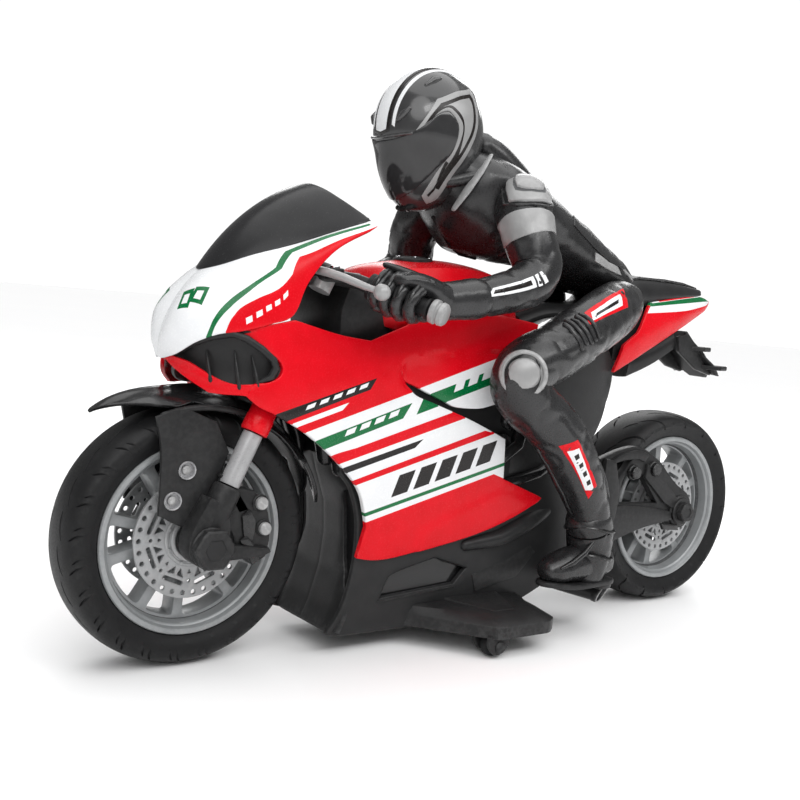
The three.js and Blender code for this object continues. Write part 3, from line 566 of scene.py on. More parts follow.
FINISHES = {
    "red": finish("gloss_red_paint", (0.68, 0.004, 0.012), (0.62, 0.003, 0.009), (0.78, 0.09, 0.09),
    (0.20, 0.30), shine=0.16, bump=0.03),
    "white": finish("gloss_white_paint", (0.79, 0.80, 0.81), (0.76, 0.77, 0.785), (0.70, 0.70, 0.70),
    (0.20, 0.30), shine=0.4, bump=0.03),
    "green": finish("gloss_green_print", (0.0, 0.140, 0.038), (0.0, 0.122, 0.033), (0.10, 0.28, 0.16),
    (0.20, 0.30), shine=0.35, bump=0.03),
    "ink": finish("gloss_black_print", (0.010, 0.008, 0.008), (0.013, 0.011, 0.010), (0.07, 0.07, 0.07),
    (0.20, 0.30), shine=0.3, bump=0.03),
    "black": finish("satin_black_plastic", (0.021, 0.021, 0.0215), (0.016, 0.016, 0.0165),
    (0.07, 0.07, 0.07), (0.34, 0.48), shine=0.22, bump=0.10),
    # painted shade: a black darker than the satin black, laid in recesses, bores, grooves and on the backs
    # of panels where shade falls
    "deep": finish("painted_shade_recess_black", (0.006, 0.006, 0.0065), (0.004, 0.004, 0.0045), (0.02, 0.02, 0.02),
    (0.5, 0.65), shine=0.2, bump=0.10),
    "gloss": finish("gloss_black_plastic", (0.011, 0.011, 0.0115), (0.008, 0.008, 0.0085),
    (0.06, 0.06, 0.06), (0.15, 0.25), shine=0.45, bump=0.04),
    "smoke": finish("smoked_screen", (0.020, 0.020, 0.021), (0.016, 0.016, 0.017), (0.07, 0.07, 0.07),
    (0.20, 0.28), shine=0.22, bump=0.02),
    "visor": finish("dark_visor", (0.030, 0.030, 0.031), (0.024, 0.024, 0.025), (0.06, 0.06, 0.06),
    (0.08, 0.14), shine=0.5, bump=0.01),
    "helmet": finish("helmet_shell", (0.036, 0.036, 0.037), (0.030, 0.030, 0.031), (0.10, 0.10, 0.10),
    (0.16, 0.24), shine=0.5, coat=0.3, bump=0.02),
    "suit": finish("moulded_leather_suit", (0.019, 0.019, 0.020), (0.013, 0.013, 0.0135),
    (0.08, 0.08, 0.08), (0.24, 0.36), shine=0.5, bump=0.22, grit=1900.0, wrinkle=0.10),
    "rubber": finish("tyre_rubber", (0.0110, 0.0110, 0.0115), (0.008, 0.008, 0.0085), (0.04, 0.04, 0.04),
    (0.42, 0.56), shine=0.22, bump=0.20, grit=2200.0),
    "rim": finish("silver_grey_wheel_plastic", (0.27, 0.28, 0.285), (0.23, 0.24, 0.245),
    (0.42, 0.42, 0.42), (0.30, 0.42), metal=0.2, bump=0.05),
    # painted shade: a darker grey for the inner well of the wheels and the groove of the shoulder pads,
    # where shade falls
    "rim_dark": finish("painted_shade_wheel_grey", (0.085, 0.087, 0.090), (0.065, 0.067, 0.070),
    (0.16, 0.16, 0.16), (0.40, 0.5), shine=0.3, bump=0.08),
    "disc": finish("brake_disc_grey", (0.34, 0.345, 0.35), (0.29, 0.295, 0.30), (0.46, 0.46, 0.46),
    (0.32, 0.42), metal=0.25, bump=0.05),
    "silver": finish("silver_grey_plastic", (0.31, 0.31, 0.31), (0.27, 0.27, 0.27), (0.56, 0.56, 0.56),
    (0.28, 0.38), metal=0.1, bump=0.05),
    "stanchion": finish("grey_fork_tube", (0.34, 0.34, 0.345), (0.30, 0.30, 0.305), (0.5, 0.5, 0.5),
    (0.26, 0.36), metal=0.1, bump=0.04),
    "steel": finish("bright_steel", (0.62, 0.62, 0.64), (0.54, 0.54, 0.56), (0.75, 0.75, 0.75),
    (0.16, 0.26), metal=1.0, bump=0.03),
    "chrome": finish("grey_reflector", (0.36, 0.36, 0.37), (0.32, 0.32, 0.33), (0.6, 0.6, 0.6),
    (0.20, 0.28), metal=0.2, bump=0.02),
}


def floor_material():
    m = bpy.data.materials.new("pale_floor")
    m.use_nodes = True
    t = m.node_tree
    b = t.nodes["Principled BSDF"]
    link(t, mix(t, ramp(t, grain(t, 6.0), ((0.3, 0.0), (0.7, 1.0))), (0.93, 0.93, 0.93),
        (0.92, 0.92, 0.925)), b.inputs["Base Color"])
    link(t, ramp(t, grain(t, 90.0), ((0.3, 0.60), (0.7, 0.70))), b.inputs["Roughness"])
    b.inputs["Specular IOR Level"].default_value = 0.1
    return m


def floor():
    """A wide round pale floor; the white studio behind it takes over where it ends."""
    radii, n = (0.25, 0.6, 1.2, 2.4, 4.0), 96
    verts = [(r * math.cos(math.tau * k / n), r * math.sin(math.tau * k / n), 0) for r in radii
        for k in range(n)] + [(0, 0, 0)]
    faces = [(len(verts) - 1, k, (k + 1) % n) for k in range(n)]
    for i in range(len(radii) - 1):
        faces += [(i * n + k, (i + 1) * n + k, (i + 1) * n + (k + 1) % n, i * n + (k + 1) % n)
            for k in range(n)]
    mesh = bpy.data.meshes.new("floor")
    mesh.from_pydata(verts, [], faces)
    mesh.materials.append(floor_material())
    ob = bpy.data.objects.new("floor", mesh)
    bpy.context.scene.collection.objects.link(ob)


def studio():
    """A white background, a dimmer surround for the light it gives, two soft lights and two strips."""
    world = bpy.data.worlds.new("studio")
    bpy.context.scene.world = world
    world.use_nodes = True
    t = world.node_tree
    seen = t.nodes["Background"]
    seen.inputs["Color"].default_value = (1, 1, 1, 1)
    seen.inputs["Strength"].default_value = 1.05
    lit = t.nodes.new("ShaderNodeBackground")
    lit.inputs["Color"].default_value = (1, 1, 1, 1)
    lit.inputs["Strength"].default_value = SURROUND
    path = t.nodes.new("ShaderNodeLightPath")
    both = t.nodes.new("ShaderNodeMixShader")
    link(t, path.outputs["Is Camera Ray"], both.inputs["Fac"])
    link(t, lit.outputs["Background"], both.inputs[1])
    link(t, seen.outputs["Background"], both.inputs[2])
    link(t, both.outputs["Shader"], t.nodes["World Output"].inputs["Surface"])
    for name, direction, spread, strength in SUNS:
        data = bpy.data.lights.new(name, "SUN")
        data.angle = math.radians(spread)
        data.energy = strength
        lamp = bpy.data.objects.new(name, data)
        bpy.context.scene.collection.objects.link(lamp)
        lamp.rotation_euler = (-Vector(direction)).to_track_quat("-Z", "Y").to_euler()
    for name, place, size, power in STRIPS:
        data = bpy.data.lights.new(name, "AREA")
        data.shape = "RECTANGLE"
        data.size, data.size_y = size
        data.energy = power
        lamp = bpy.data.objects.new(name, data)
        bpy.context.scene.collection.objects.link(lamp)
        lamp.location = place
        lamp.rotation_euler = (Vector((0, 0, 0.07)) - Vector(place)).to_track_quat("-Z", "Y").to_euler()
    bpy.context.scene.view_settings.view_transform = "Standard"


SURROUND = 0.26
# name, direction towards the light, spread in degrees, strength
SUNS = (
    ("overhead", (-0.1, 0.05, 1.0), 75, 2.15),
    ("front", (0.75, 0.85, 0.75), 40, 0.95),
)
# name, place in metres, size in metres, power in watts
STRIPS = (
    ("strip_side", (-0.10, 0.62, 0.62), (1.1, 0.16), 3.2),
    ("strip_back", (-0.5, -0.6, 0.5), (0.7, 0.3), 2.6),
)

CAMERA_AT = Vector((191.84, 232.53, 90.09)) * MM
CAMERA_TURN = math.radians(53.594)
CAMERA_DIP = math.radians(5.632)
CAMERA_ROLL = math.radians(4.787)
CAMERA_LENS = 49.94


def camera():
    forward = Vector((-math.cos(CAMERA_TURN) * math.cos(CAMERA_DIP),
        -math.sin(CAMERA_TURN) * math.cos(CAMERA_DIP), -math.sin(CAMERA_DIP)))
    right = forward.cross(Vector((0, 0, 1))).normalized()
    up = right.cross(forward)
    right, up = right * math.cos(CAMERA_ROLL) + up * math.sin(CAMERA_ROLL), up * math.cos(
        CAMERA_ROLL) - right * math.sin(CAMERA_ROLL)
    data = bpy.data.cameras.new("camera")
    data.lens = CAMERA_LENS
    data.sensor_width = 36
    data.clip_start = 0.01
    ob = bpy.data.objects.new("camera", data)
    bpy.context.scene.collection.objects.link(ob)
    turn = Matrix((right, up, -forward)).transposed()
    ob.matrix_world = Matrix.Translation(CAMERA_AT) @ turn.to_4x4()
    bpy.context.scene.camera = ob


floor()
studio()
camera()


# ---------------------------------------------------------------- side fairings
def fairing_y(x, z):
    """How far out the side fairing stands. It tucks in low down and leans in above its shoulder line."""
    low = max(0.0, 60 - z) / 36
    wide = 19.4 - 2.6 * low * low - 0.8 * ((x - 25) / 45) ** 2
    over = z - (64 + 0.315 * (70.5 - x))
    lean = lerp(0.10, 0.42, smoothstep(66, 34, x))
    return wide - lean * (over + math.sqrt(over * over + 9)) / 2


VENT_HIGH = [(35, 73.4), (33.4, 69.2), (29, 67.3), (24.6, 65.5), (18.6, 63.2), (16.2, 62.4), (8.7, 62.1),
    (3.6, 63.1), (0.9, 63.6)]
PANEL_FOLD = [(35, 73.6), (26.2, 75.4), (8, 77.3), (-6, 78.4)]


def fold_depth(x, z):
    """The rear upper panel lies a little deeper than the main panel, below a fold line."""
    if x > 35:
        return 0.0
    line = table([(-a, b) for a, b in PANEL_FOLD], -x)[0]
    side = smoothstep(35, 33, x)
    return 0.9 * side * smoothstep(0.2, 1.6, line - z) if z > table([(-a, b) for a, b in VENT_HIGH],
        -x)[0] - 1.5 else 0.0


def belly_fold(x, z):
    """The bottom flank turns out below a thin fold line near the lower edge."""
    line = table([(-a, b) for a, b in ((24, 31.6), (2.2, 39.6), (-1.4, 40.4), (-12, 37.4))], -x)[0]
    return 0.5 * smoothstep(-0.1, 1.1, line - z) if x < 24 else 0.0


def fairing_surface(x, z):
    y = fairing_y(x, z)
    y -= 3.6 * max(0.0, (x - 67) / 9) ** 1.6
    ring = math.hypot(x - 39.3, z - 72.5)
    y -= 0.35 * smoothstep(0.28, 0.0, abs(ring - 1.75))
    for bx, bz in ((40.6, 74.4), (31.5, 26.2), (18.6, 28.2), (7.4, 31.2), (-5, 34.6), (3, 66.5)):
        y += 0.45 * smoothstep(0.75, 0.3, math.hypot(x - bx, z - bz))
    return Vector((x, y - fold_depth(x, z) + belly_fold(x, z), z))


FAIRING_EDGE = [
    (76.4, 78.4, 1), (74.0, 76.8), (70.6, 74.7), (67.6, 72.6), (66.4, 70.6), (67.2, 68.5), (69.6, 67.1),
    (72.6, 66.6, 1),
    (74.0, 64.0, 1), (71.4, 61.9), (67.5, 60.2), (59.7, 56.1), (51.3, 49.9), (43.9, 42.6), (41.0, 36),
    (40.1, 32.6, 1),
    (41.4, 25.1, 1), (36, 24.3), (28.2, 24.9), (7.0, 28.7), (-6, 32.6), (-16.6, 37.4, 1), (-1.5, 43.1, 1),
    (-0.4, 53.8, 1),
    (2.6, 55.1, 1), (12.2, 58.9), (24, 62.9), (30.7, 65.4), (34.2, 70.6), (35, 73.4, 1), (33.4, 69.2),
    (29, 67.3), (24.6, 65.5),
    (18.6, 63.2), (16.2, 62.4), (8.7, 62.1), (3.6, 63.1), (0.9, 63.6, 1), (-1, 68), (-7, 78.4, 1),
    (-8.5, 84, 1), (6, 86, 1), (24, 85.2), (33.5, 81.2, 1),
    (42.9, 77.5, 1), (52, 78.6), (63.8, 81.2, 1),
]


def sloped(x0, z0, x1, z1, x2, z2, x3, z3):
    """A printed band: its top line from (x0, z0) to (x1, z1), its bottom line from (x3, z3) to (x2, z2)."""
    return [(x0, z0), (x1, z1), (x2, z2), (x3, z3)]


def fairing_prints():
    """The racing stripes. Lettering on the original becomes plain slanted bars."""
    prints = [
        (sloped(80, 56.3, 41.6, 69.1, 43.3, 66.3, 80, 53.6), "ink"),
        (sloped(80, 52.6, 49.0, 63.2, 50.6, 61.4, 80, 51.4), "white"),
        (sloped(80, 49.5, 6, 74.2, 0, 76.2, 0, 62.2) + [(12, 59.0), (15.5, 59.6), (50.4, 51.4), (80, 42)],
        "white"),
        (sloped(80, 46.4, 30.8, 63.3, 33.2, 59.5, 80, 43.6), "green"),
        ([(27.4, 64.6), (-4, 75.0), (-4, 71.0), (29.3, 60.4)], "green"),
        (sloped(80, 42.0, 18, 61.0, 9.0, 60.5, 14.2, 59.4) + [(48.2, 49.3), (80, 39.6)], "red"),
        ([(80, 39.5), (48.2, 49.3), (14.2, 59.4), (0, 61), (-6, 50), (-3, 43.0), (2.0, 44.8), (40.1, 34.2),
        (48, 31.6)], "white"),
        (sloped(80, 38.6, 26.4, 54.4, 28.8, 52.2, 80, 36.8), "ink"),
        (sloped(80, 34.4, 6.8, 56.3, 3.0, 55.6, 3.0, 55.6) + [(43.3, 43.9), (80, 33)], "red"),
        ([(46, 35.2), (1.9, 47.0), (-4, 48.6), (-4, 47.7), (1.8, 46.1), (46, 34.2)], "green"),
    ]
    for k in range(5):
        a, b = 34.3 - 6.4 * k, 34.3 - 6.4 * k - 4.7
        slope = -0.272
        low = lambda x: 39.9 + slope * (x - 34.6)
        high = lambda x: 46.0 + slope * (x - 32.5)
        prints.append(([(a, low(a)), (b, low(b)), (b - 1.8, high(b)), (a - 1.8, high(a))], "ink"))
    for k in range(5):
        a = 60.5 - 3.5 * k
        prints.append(([(a, 61.3 - 0.345 * (a - 60.5)), (a - 2.2, 62.05 - 0.345 * (a - 60.5)),
            (a - 2.7, 63.2 - 0.345 * (a - 60.5)), (a - 0.5, 62.4 - 0.345 * (a - 60.5))], "white"))
    for k in range(4):
        a = 49.5 - 4.0 * k
        z = 55.2 - 0.345 * (a - 49.5)
        prints.append(([(a, z), (a - 2.6, z + 0.9), (a - 3.2, z + 2.4), (a - 0.6, z + 1.5)], "white"))
    for k in range(3):
        a = 17.5 - 4.4 * k
        z = 65.9 - 0.345 * (a - 17.5)
        prints.append(([(a, z), (a - 2.9, z + 1.0), (a - 3.5, z + 3.2), (a - 0.6, z + 2.2)], "white"))
    return prints


def side_fairings():
    edge = curve(FAIRING_EDGE, 1.2)
    # the backs of the fairings are painted shade black
    left = skin(edge, fairing_surface, "red", fairing_prints(), step=1.5, thick=1.5, rim=0.3, out=-1,
        back="deep")
    left.emit("fairing_left", "frame", ["side_fairing_left"], "gloss_red")
    left.mirrored().emit("fairing_right", "frame", ["side_fairing_right"], "gloss_red")


# ---------------------------------------------------------------- belly
BELLY_EDGE = [
    (46, 6.3, 1), (43.3, 12), (41.6, 20), (40.9, 28), (41.6, 36), (44.0, 42.5), (47, 47.5), (39, 55),
    (37, 70), (33, 79, 1), (-10, 79, 1),
    (-30, 84, 1), (-46, 76), (-45, 60), (-35, 46), (-33.5, 30), (-33, 21), (-27, 14.6), (-8, 5.4, 1),
    (20, 5.0), (44, 5.2),
]
SIDE_RECESS = [(33.2, 13.2, 1), (31.6, 18.2), (29.0, 20.4), (16.6, 23.4, 1), (5.2, 19.6, 1), (9.2, 15.0, 1)]


def belly_y(x, z):
    """Half width of the belly: full at the middle and drawn in towards the ground and the tail."""
    low = max(0.0, 24 - z) / 19
    rear = max(0.0, -18 - x) / 20
    return 14.9 - 2.2 * low * low - 2.4 * min(rear, 1.4) ** 2 + 0.9 * smoothstep(60, 30, z)


def belly_surface(x, z):
    return Vector((x, belly_y(x, z), z))


def belly_front_point(s, y):
    """The front face follows the tyre. s runs down from the top, 0 to 1, and y goes across."""
    rows = [(0.0, 39.5, 56.5), (0.17, 46.2, 48.3), (0.27, 44.4, 43.2), (0.42, 41.6, 36), (0.58, 40.9, 28),
        (0.75, 41.6, 20), (0.9, 43.8, 11.5), (1.0, 46.0, 6.3)]
    x, z = table(rows, s)
    round_off = 1.4 * smoothstep(11.2, 15, abs(y)) ** 2
    return Vector((x - round_off, y, z))


def belly():
    edge = curve(BELLY_EDGE, 1.5)
    recess = curve(SIDE_RECESS, 1.2)
    # the back of the side skin is painted shade black
    side = skin(edge, belly_surface, "black", holes=[recess], step=2.4, thick=1.6, rim=0.5, out=-1,
        back="deep")
    floor = skin(moved(wound(recess), 0.8), lambda x,
        z: Vector((x, belly_y(x, z) - 1.5 - 1.2 * smoothstep(12, 24, z), z)), "gloss", step=2.0, thick=0.8,
        rim=0.2, out=-1)
    lip = tube([Vector((x, belly_y(x, z) + 0.1, z)) for x, z in ((33.3, 13.0), (21, 14.0), (9.3, 14.8))],
        0.28, "black", 10)
    # the front face, with its long oval recess; the recess floor and the back of the skin are painted shade
    # black
    front_edge = [Vector(p) for p in ((0, 0), (100, 0), (100, 14.6), (0, 14.6))]
    front_edge = [a.lerp(b, k / 12) for a, b in zip(front_edge, front_edge[1:] + front_edge[:1])
        for k in range(12)]
    oval = curve([(30, 14.0, 1), (32, 11), (36, 9.2), (44, 8.4), (56, 8.6), (66, 9.6), (78, 12.0),
        (84, 14.0, 1)], 2.0)
    place = lambda u, v: belly_front_point(u / 100, v)
    front = skin(front_edge, place, "black", holes=[oval], step=3.0, thick=1.4, rim=0.4, out=1,
        back="deep", eps=0.4)
    deep = skin(moved(wound(oval), 0.8), lambda u, v: place(u, v) + Vector((-1.3, 0, 0)), "deep", step=3.0,
        thick=0.6, rim=0.2, out=1, eps=0.4)
    # keel closes the bottom between the side and the middle
    keel_edge = [Vector(p) for p in ((45.2, 0), (45.2, 12.6), (-9, 12.2), (-26, 9.0), (-33, 8.4), (-33, 0))]
    keel = skin(curve([(p.x, p.y, 1) for p in keel_edge], 2.5), lambda x,
        y: Vector((x, y, 5.3 + 1.0 * max(0, -8 - x) * 0.37 + 0.012 * max(0.0, y - 9) ** 2)), "black",
        step=4, thick=1.0, rim=0.3, out=-1)
    # rounded ends of the two cooling ducts beside the wheel
    duct = Shape()
    for x, y, z in ((44.8, 11.6, 46.2), (46.4, 6.8, 48.4)):
        duct.join(tube([(x + 3, y, z + 9), (x + 0.6, y, z + 3.4), (x, y, z)], [2.5, 2.5, 2.3], "gloss", 24))
    # the moulded step lines and pipe behind the recess
    detail = Shape()
    detail.join(tube([(7, 15.6, 25.6), (-4, 16.0, 26.8), (-14, 15.2, 30.4), (-22, 13.4, 33)],
        [1.6, 2.3, 2.7, 2.4], "black", 24))
    detail.join(slab(curve([(4, 17.6, 1), (-8, 21, 1), (-16, 24.8, 1), (-19, 22, 1), (-12, 15.4, 1),
        (2, 12.6, 1)], 2), 12.6, 15.8, "black", bevel=0.6))
    for x, z in ((0.5, 46.5), (-2.5, 52.5), (-4.5, 58.5)):
        detail.join(turned_on([(2.6, -1), (2.6, 1.4), (2.2, 1.9), (1.4, 1.9), (1.2, 1.2)], (x, 14.9, z),
            (0, 1, 0), "gloss", 28))
    detail.join(tube([(2, 16.2, 46), (-7, 16.4, 52), (-10, 16, 62), (-8, 15.4, 70)], 2.0, "gloss", 20))
    detail.join(tube([(-3, 15.8, 41), (-16, 15.6, 44), (-26, 13.8, 48)], 1.7, "gloss", 20))
    detail.join(slab(curve([(-6, 44, 1), (-6, 64, 1), (-20, 66, 1), (-28, 56, 1), (-24, 44, 1)], 2), 13.4,
        15.6, "black", bevel=0.6))
    left = Shape().join(side, floor, lip, front, deep, keel, duct, detail)
    left.emit("belly_left", "frame", ["chassis_half_left"], "satin_black")
    left.mirrored().emit("belly_right", "frame", ["chassis_half_right"], "satin_black")


# ---------------------------------------------------------------- nose and screen
NOSE_TOP = [
    (0.0, 88.9, 0, 71.2), (0.10, 88.8, 0, 75.6), (0.20, 87.2, 0, 81.0), (0.30, 84.0, 0, 86.6),
    (0.38, 79.9, 0, 91.1),
    (0.5, 75.6, 6.0, 93.4), (0.62, 69.6, 9.6, 96.2), (0.75, 61.4, 12.6, 99.2), (0.88, 53.6, 14.9, 102.4),
    (1.0, 46.0, 16.7, 105.4),
]
NOSE_SIDE = [
    (0.0, 88.6, 1.2, 70.6), (0.10, 87.0, 5.6, 72.2), (0.20, 84.4, 9.6, 75.2), (0.30, 80.4, 12.6, 77.4),
    (0.38, 76.0, 14.8, 78.4),
    (0.5, 70.0, 16.8, 80.4), (0.62, 64.6, 17.4, 82.8), (0.75, 61.4, 17.8, 90.6), (0.88, 55.0, 18.2, 98.2),
    (1.0, 44.6, 18.3, 104.2),
]
NOSE_BULGE = [(0.0, 0.4), (0.10, 2.2), (0.2, 3.6), (0.38, 4.2), (0.6, 2.6), (0.8, 1.2), (1.0, 0.3)]


def nose_surface(u, v):
    """u runs 0 to 100 from the tip to the rear corner, v 0 to 100 down to the lower edge."""
    s, t = u / 100, v / 100
    top = Vector(smooth_table(NOSE_TOP, s))
    side = Vector(smooth_table(NOSE_SIDE, s))
    bulge = table(NOSE_BULGE, s)[0]
    p = top.lerp(side, t)
    lift = 4 * t * (1 - t) * bulge
    return p + Vector((lift * 0.45, lift * 0.55, lift * 0.75))


def smooth_table(rows, at):
    """Reads a table with smooth curves between its rows."""
    if at <= rows[0][0]:
        a, b = rows[0], rows[1]
        t = (at - a[0]) / (b[0] - a[0])
        return tuple(lerp(p, q, t) for p, q in zip(a[1:], b[1:]))
    if at >= rows[-1][0]:
        a, b = rows[-2], rows[-1]
        t = (at - a[0]) / (b[0] - a[0])
        return tuple(lerp(p, q, t) for p, q in zip(a[1:], b[1:]))
    for i in range(len(rows) - 1):
        if at <= rows[i + 1][0]:
            break
    r1, r2 = rows[i], rows[i + 1]
    r0 = rows[i - 1] if i else tuple(2 * a - b for a, b in zip(r1, r2))
    r3 = rows[i + 2] if i + 2 < len(rows) else tuple(2 * b - a for a, b in zip(r1, r2))
    t = (at - r1[0]) / (r2[0] - r1[0])
    return tuple(catmull(a, b, c, d, t) for a, b, c, d in zip(r0[1:], r1[1:], r2[1:], r3[1:]))


def nose():
    edge = [(0, 0, 1), (38, 0, 1), (100, 0, 1), (100, 100, 1), (62, 100, 1), (0, 100, 1)]
    edge = curve(edge, 2.0)
    red = [(curve([(31, 104, 1), (38, 86), (48, 75), (68, 64, 1), (73, 46, 1), (85, 66), (101, 97, 1),
        (104, 110, 1), (30, 110, 1)], 2.0), "red")]
    left_of_green = [(23, 104, 1), (33, 80), (44, 64), (56, 48), (63, 40, 1), (69, 18, 1), (81, 14),
        (90, 24), (99, 42, 1)]
    right_of_green = [(99, 64, 1), (90, 46), (82, 32), (71, 28, 1), (65, 46, 1), (57, 52), (44, 70),
        (33, 86), (25.5, 104, 1)]
    green = [(curve(left_of_green + right_of_green, 2.0), "green")]
    # a plain pair of blocks where the race number goes, and a row of slanted dashes on the red
    for k in (0, 1):
        block = [(21 + 5 * k, 38 + 8 * k, 1), (28 + 4 * k, 20 + 14 * k, 1), (31.4 + 4 * k, 34 + 14 * k, 1),
            (24.4 + 5 * k, 54 + 10 * k, 1)]
        middle = sum((Vector(p[:2]) for p in block), Vector((0, 0))) / 4
        core = [tuple(middle.lerp(Vector(p[:2]), 0.5)) + (1,) for p in block]
        green += [(curve(block, 2.0), "green"), (curve(core, 2.0), "white")]
    for k in range(5):
        u, v = lerp(41, 60, k / 4), lerp(93, 79, k / 4)
        green.append((curve([(u, v + 3, 1), (u + 2.8, v + 1.4, 1), (u + 3.6, v - 4, 1),
            (u + 0.8, v - 2.4, 1)], 2.0), "white"))
    # the back of the cowl is painted shade black
    panel = skin(edge, nose_surface, "white", red + green, step=3.0, thick=1.2, rim=0.25, out=-1,
        back="deep", eps=0.3)
    both = panel.both_sides()
    both.emit("nose_cowl_shell", "frame", ["nose_cowl"], "gloss_red")


def screen_surface(u, v):
    """u runs -100 to 100 across the screen and v 0 to 100 from its base to its top edge."""
    a, t = u / 100, v / 100
    bow = max(0.0, 1 - a * a)
    base = Vector((lerp(46.6, 80.2, bow ** 0.86), 16.9 * a, lerp(105.2, 91.3, bow ** 0.9)))
    top = Vector((lerp(44.6, 55.2, bow), 15.6 * a, lerp(107.2, 113.4, bow)))
    dome = 4 * t * (1 - t) * (2.6 * bow + 0.2)
    return base.lerp(top, t) + Vector((dome * 0.55, 0, dome * 0.8))


def windscreen():
    edge = curve([(-100, 0, 1), (0, 0), (100, 0, 1), (100, 40), (92, 84), (60, 99), (0, 102), (-60, 99),
        (-92, 84), (-100, 40)], 3.0)
    shell = skin(edge, screen_surface, "smoke", step=4.0, thick=0.9, rim=0.2, out=1, eps=0.4)
    shell.emit("windscreen_shell", "frame", ["windscreen"], "smoked_plastic")


side_fairings()
belly()
nose()
windscreen()


# ---------------------------------------------------------------- wheels
def groove(points, depth):
    """A cut in the tread: its outline and how deep it goes."""
    return wound(points), depth


def slit(x, y, length, width, angle, bend=0.0):
    """A slim curved cut centred on (x, y); angle is in degrees from the rolling direction."""
    a = math.radians(angle)
    along, across = Vector((math.cos(a), math.sin(a))), Vector((-math.sin(a), math.cos(a)))
    upper, lower = [], []
    for k in range(7):
        t = k / 3 - 1
        mid = Vector((x, y)) + along * (t * length / 2) + across * (bend * (1 - t * t))
        half = width / 2 * (0.25 + 0.75 * math.sqrt(max(0.0, 1 - t * t)))
        upper.append(mid + across * half)
        lower.append(mid - across * half)
    return upper + lower[::-1]


def tyre(axle, profile, cuts, sectors):
    """A tyre of repeated sectors. profile is (radius, across) from bead to bead; cuts are in arc mm."""
    lengths = [0.0]
    for a, b in zip(profile, profile[1:]):
        lengths.append(lengths[-1] + math.hypot(b[0] - a[0], b[1] - a[1]))
    crown = max(r for r, _ in profile)
    width = math.tau * crown / sectors
    half = lengths[-1] / 2
    rows = [(s - half, *p) for s, p in zip(lengths, profile)]
    edge = []
    for a, b in (((0, -half), (width, -half)), ((width, -half), (width, half)), ((width, half), (0, half)),
            ((0, half), (0, -half))):
        a, b = Vector(a), Vector(b)
        n = 6 if abs(a.y - b.y) < 1e-6 else 44
        edge += [a.lerp(b, k / n) for k in range(n)]
    walls = [wound(c) for c, _ in cuts]
    floors = [moved(w, -0.14) for w in walls]
    loose = grid(edge, walls, 1.1, 0.4)
    points, tris = triangles(edge, (), [(w, 0) for w in walls] + [(f, 1) for f in floors], loose)
    depths = [d for _, d in cuts]

    def place(p, turn):
        r, w = smooth_table(rows, p.y)
        for floor, depth in zip(floors, depths):
            if inside(p, floor) or near(p, floor, 0.01):
                r -= depth
        a = (p.x / width + turn) * math.tau / sectors
        return Vector((axle.x + r * math.cos(a), w, axle.z + r * math.sin(a)))

    shape = Shape()
    flat = [place(p, 0) for p in points]
    faces = [tri for tri, _ in tris]
    for k in range(sectors):
        a = math.tau * k / sectors
        c, s = math.cos(a), math.sin(a)
        verts = [Vector((axle.x + (v.x - axle.x) * c - (v.z - axle.z) * s, v.y,
            axle.z + (v.x - axle.x) * s + (v.z - axle.z) * c)) for v in flat]
        shape.add(verts, faces, "rubber")
    # the inner face closes the tyre between its beads
    r0, w0 = profile[0]
    inner = [(r0, w0), (r0 - 0.01, w0 * 0.98), (r0 - 0.9, w0 * 0.8), (r0 - 0.9, -w0 * 0.8),
        (r0 - 0.01, -w0 * 0.98), (r0, -w0)]
    m = sectors * 6
    verts = [Vector((axle.x + r * math.cos(math.tau * k / m), w, axle.z + r * math.sin(math.tau * k / m)))
        for k in range(m) for r, w in inner]
    faces = [(k * 6 + i, k * 6 + i + 1, (k + 1) % m * 6 + i + 1, (k + 1) % m * 6 + i) for k in range(m)
        for i in range(5)]
    return shape.add(verts, faces, "rubber")


def tyre_profile(radius, half, seat_r, seat_half):
    """Bead, side wall with two fine rings, shoulder and round tread, from one side to the other."""
    side = [
        (seat_r, seat_half), (seat_r + 0.5, seat_half + 0.55), (seat_r + 1.2, seat_half + 0.75),
        (seat_r + 1.9, seat_half + 1.15),
        (seat_r + 2.15, seat_half + 1.45), (seat_r + 2.5, seat_half + 1.4),
        (seat_r + 3.3, seat_half + 1.75),
    ]
    start = (seat_r + 4.0, half)
    crown = []
    for k in range(0, 9):
        a = math.radians(90 * k / 8)
        crown.append((start[0] + (radius - start[0]) * math.sin(a) ** 0.96, half * math.cos(a) ** 0.9))
    crown[-1] = (radius, 0.0)
    top = side + crown
    return top + [(r, -w) for r, w in top[-2::-1]]


def rim_profile(outer, half, inner):
    """A rim's turned section: a two-step lip and a barrel that narrows inwards, on both sides."""
    side = [
        (outer - 0.2, half - 0.6), (outer + 0.3, half - 0.1), (outer + 0.35, half + 0.5),
        (outer + 0.1, half + 0.85), (outer - 0.4, half + 0.95),
        (outer - 1.0, half + 0.8), (outer - 1.3, half + 0.35), (outer - 1.45, half - 0.05),
        (outer - 1.75, half - 0.2), (outer - 2.0, half - 0.5),
        (outer - 2.05, half - 0.9), (inner + 0.15, half - 1.6), (inner - 0.05, half - 2.8),
    ]
    return side + [(r, -w) for r, w in reversed(side)]


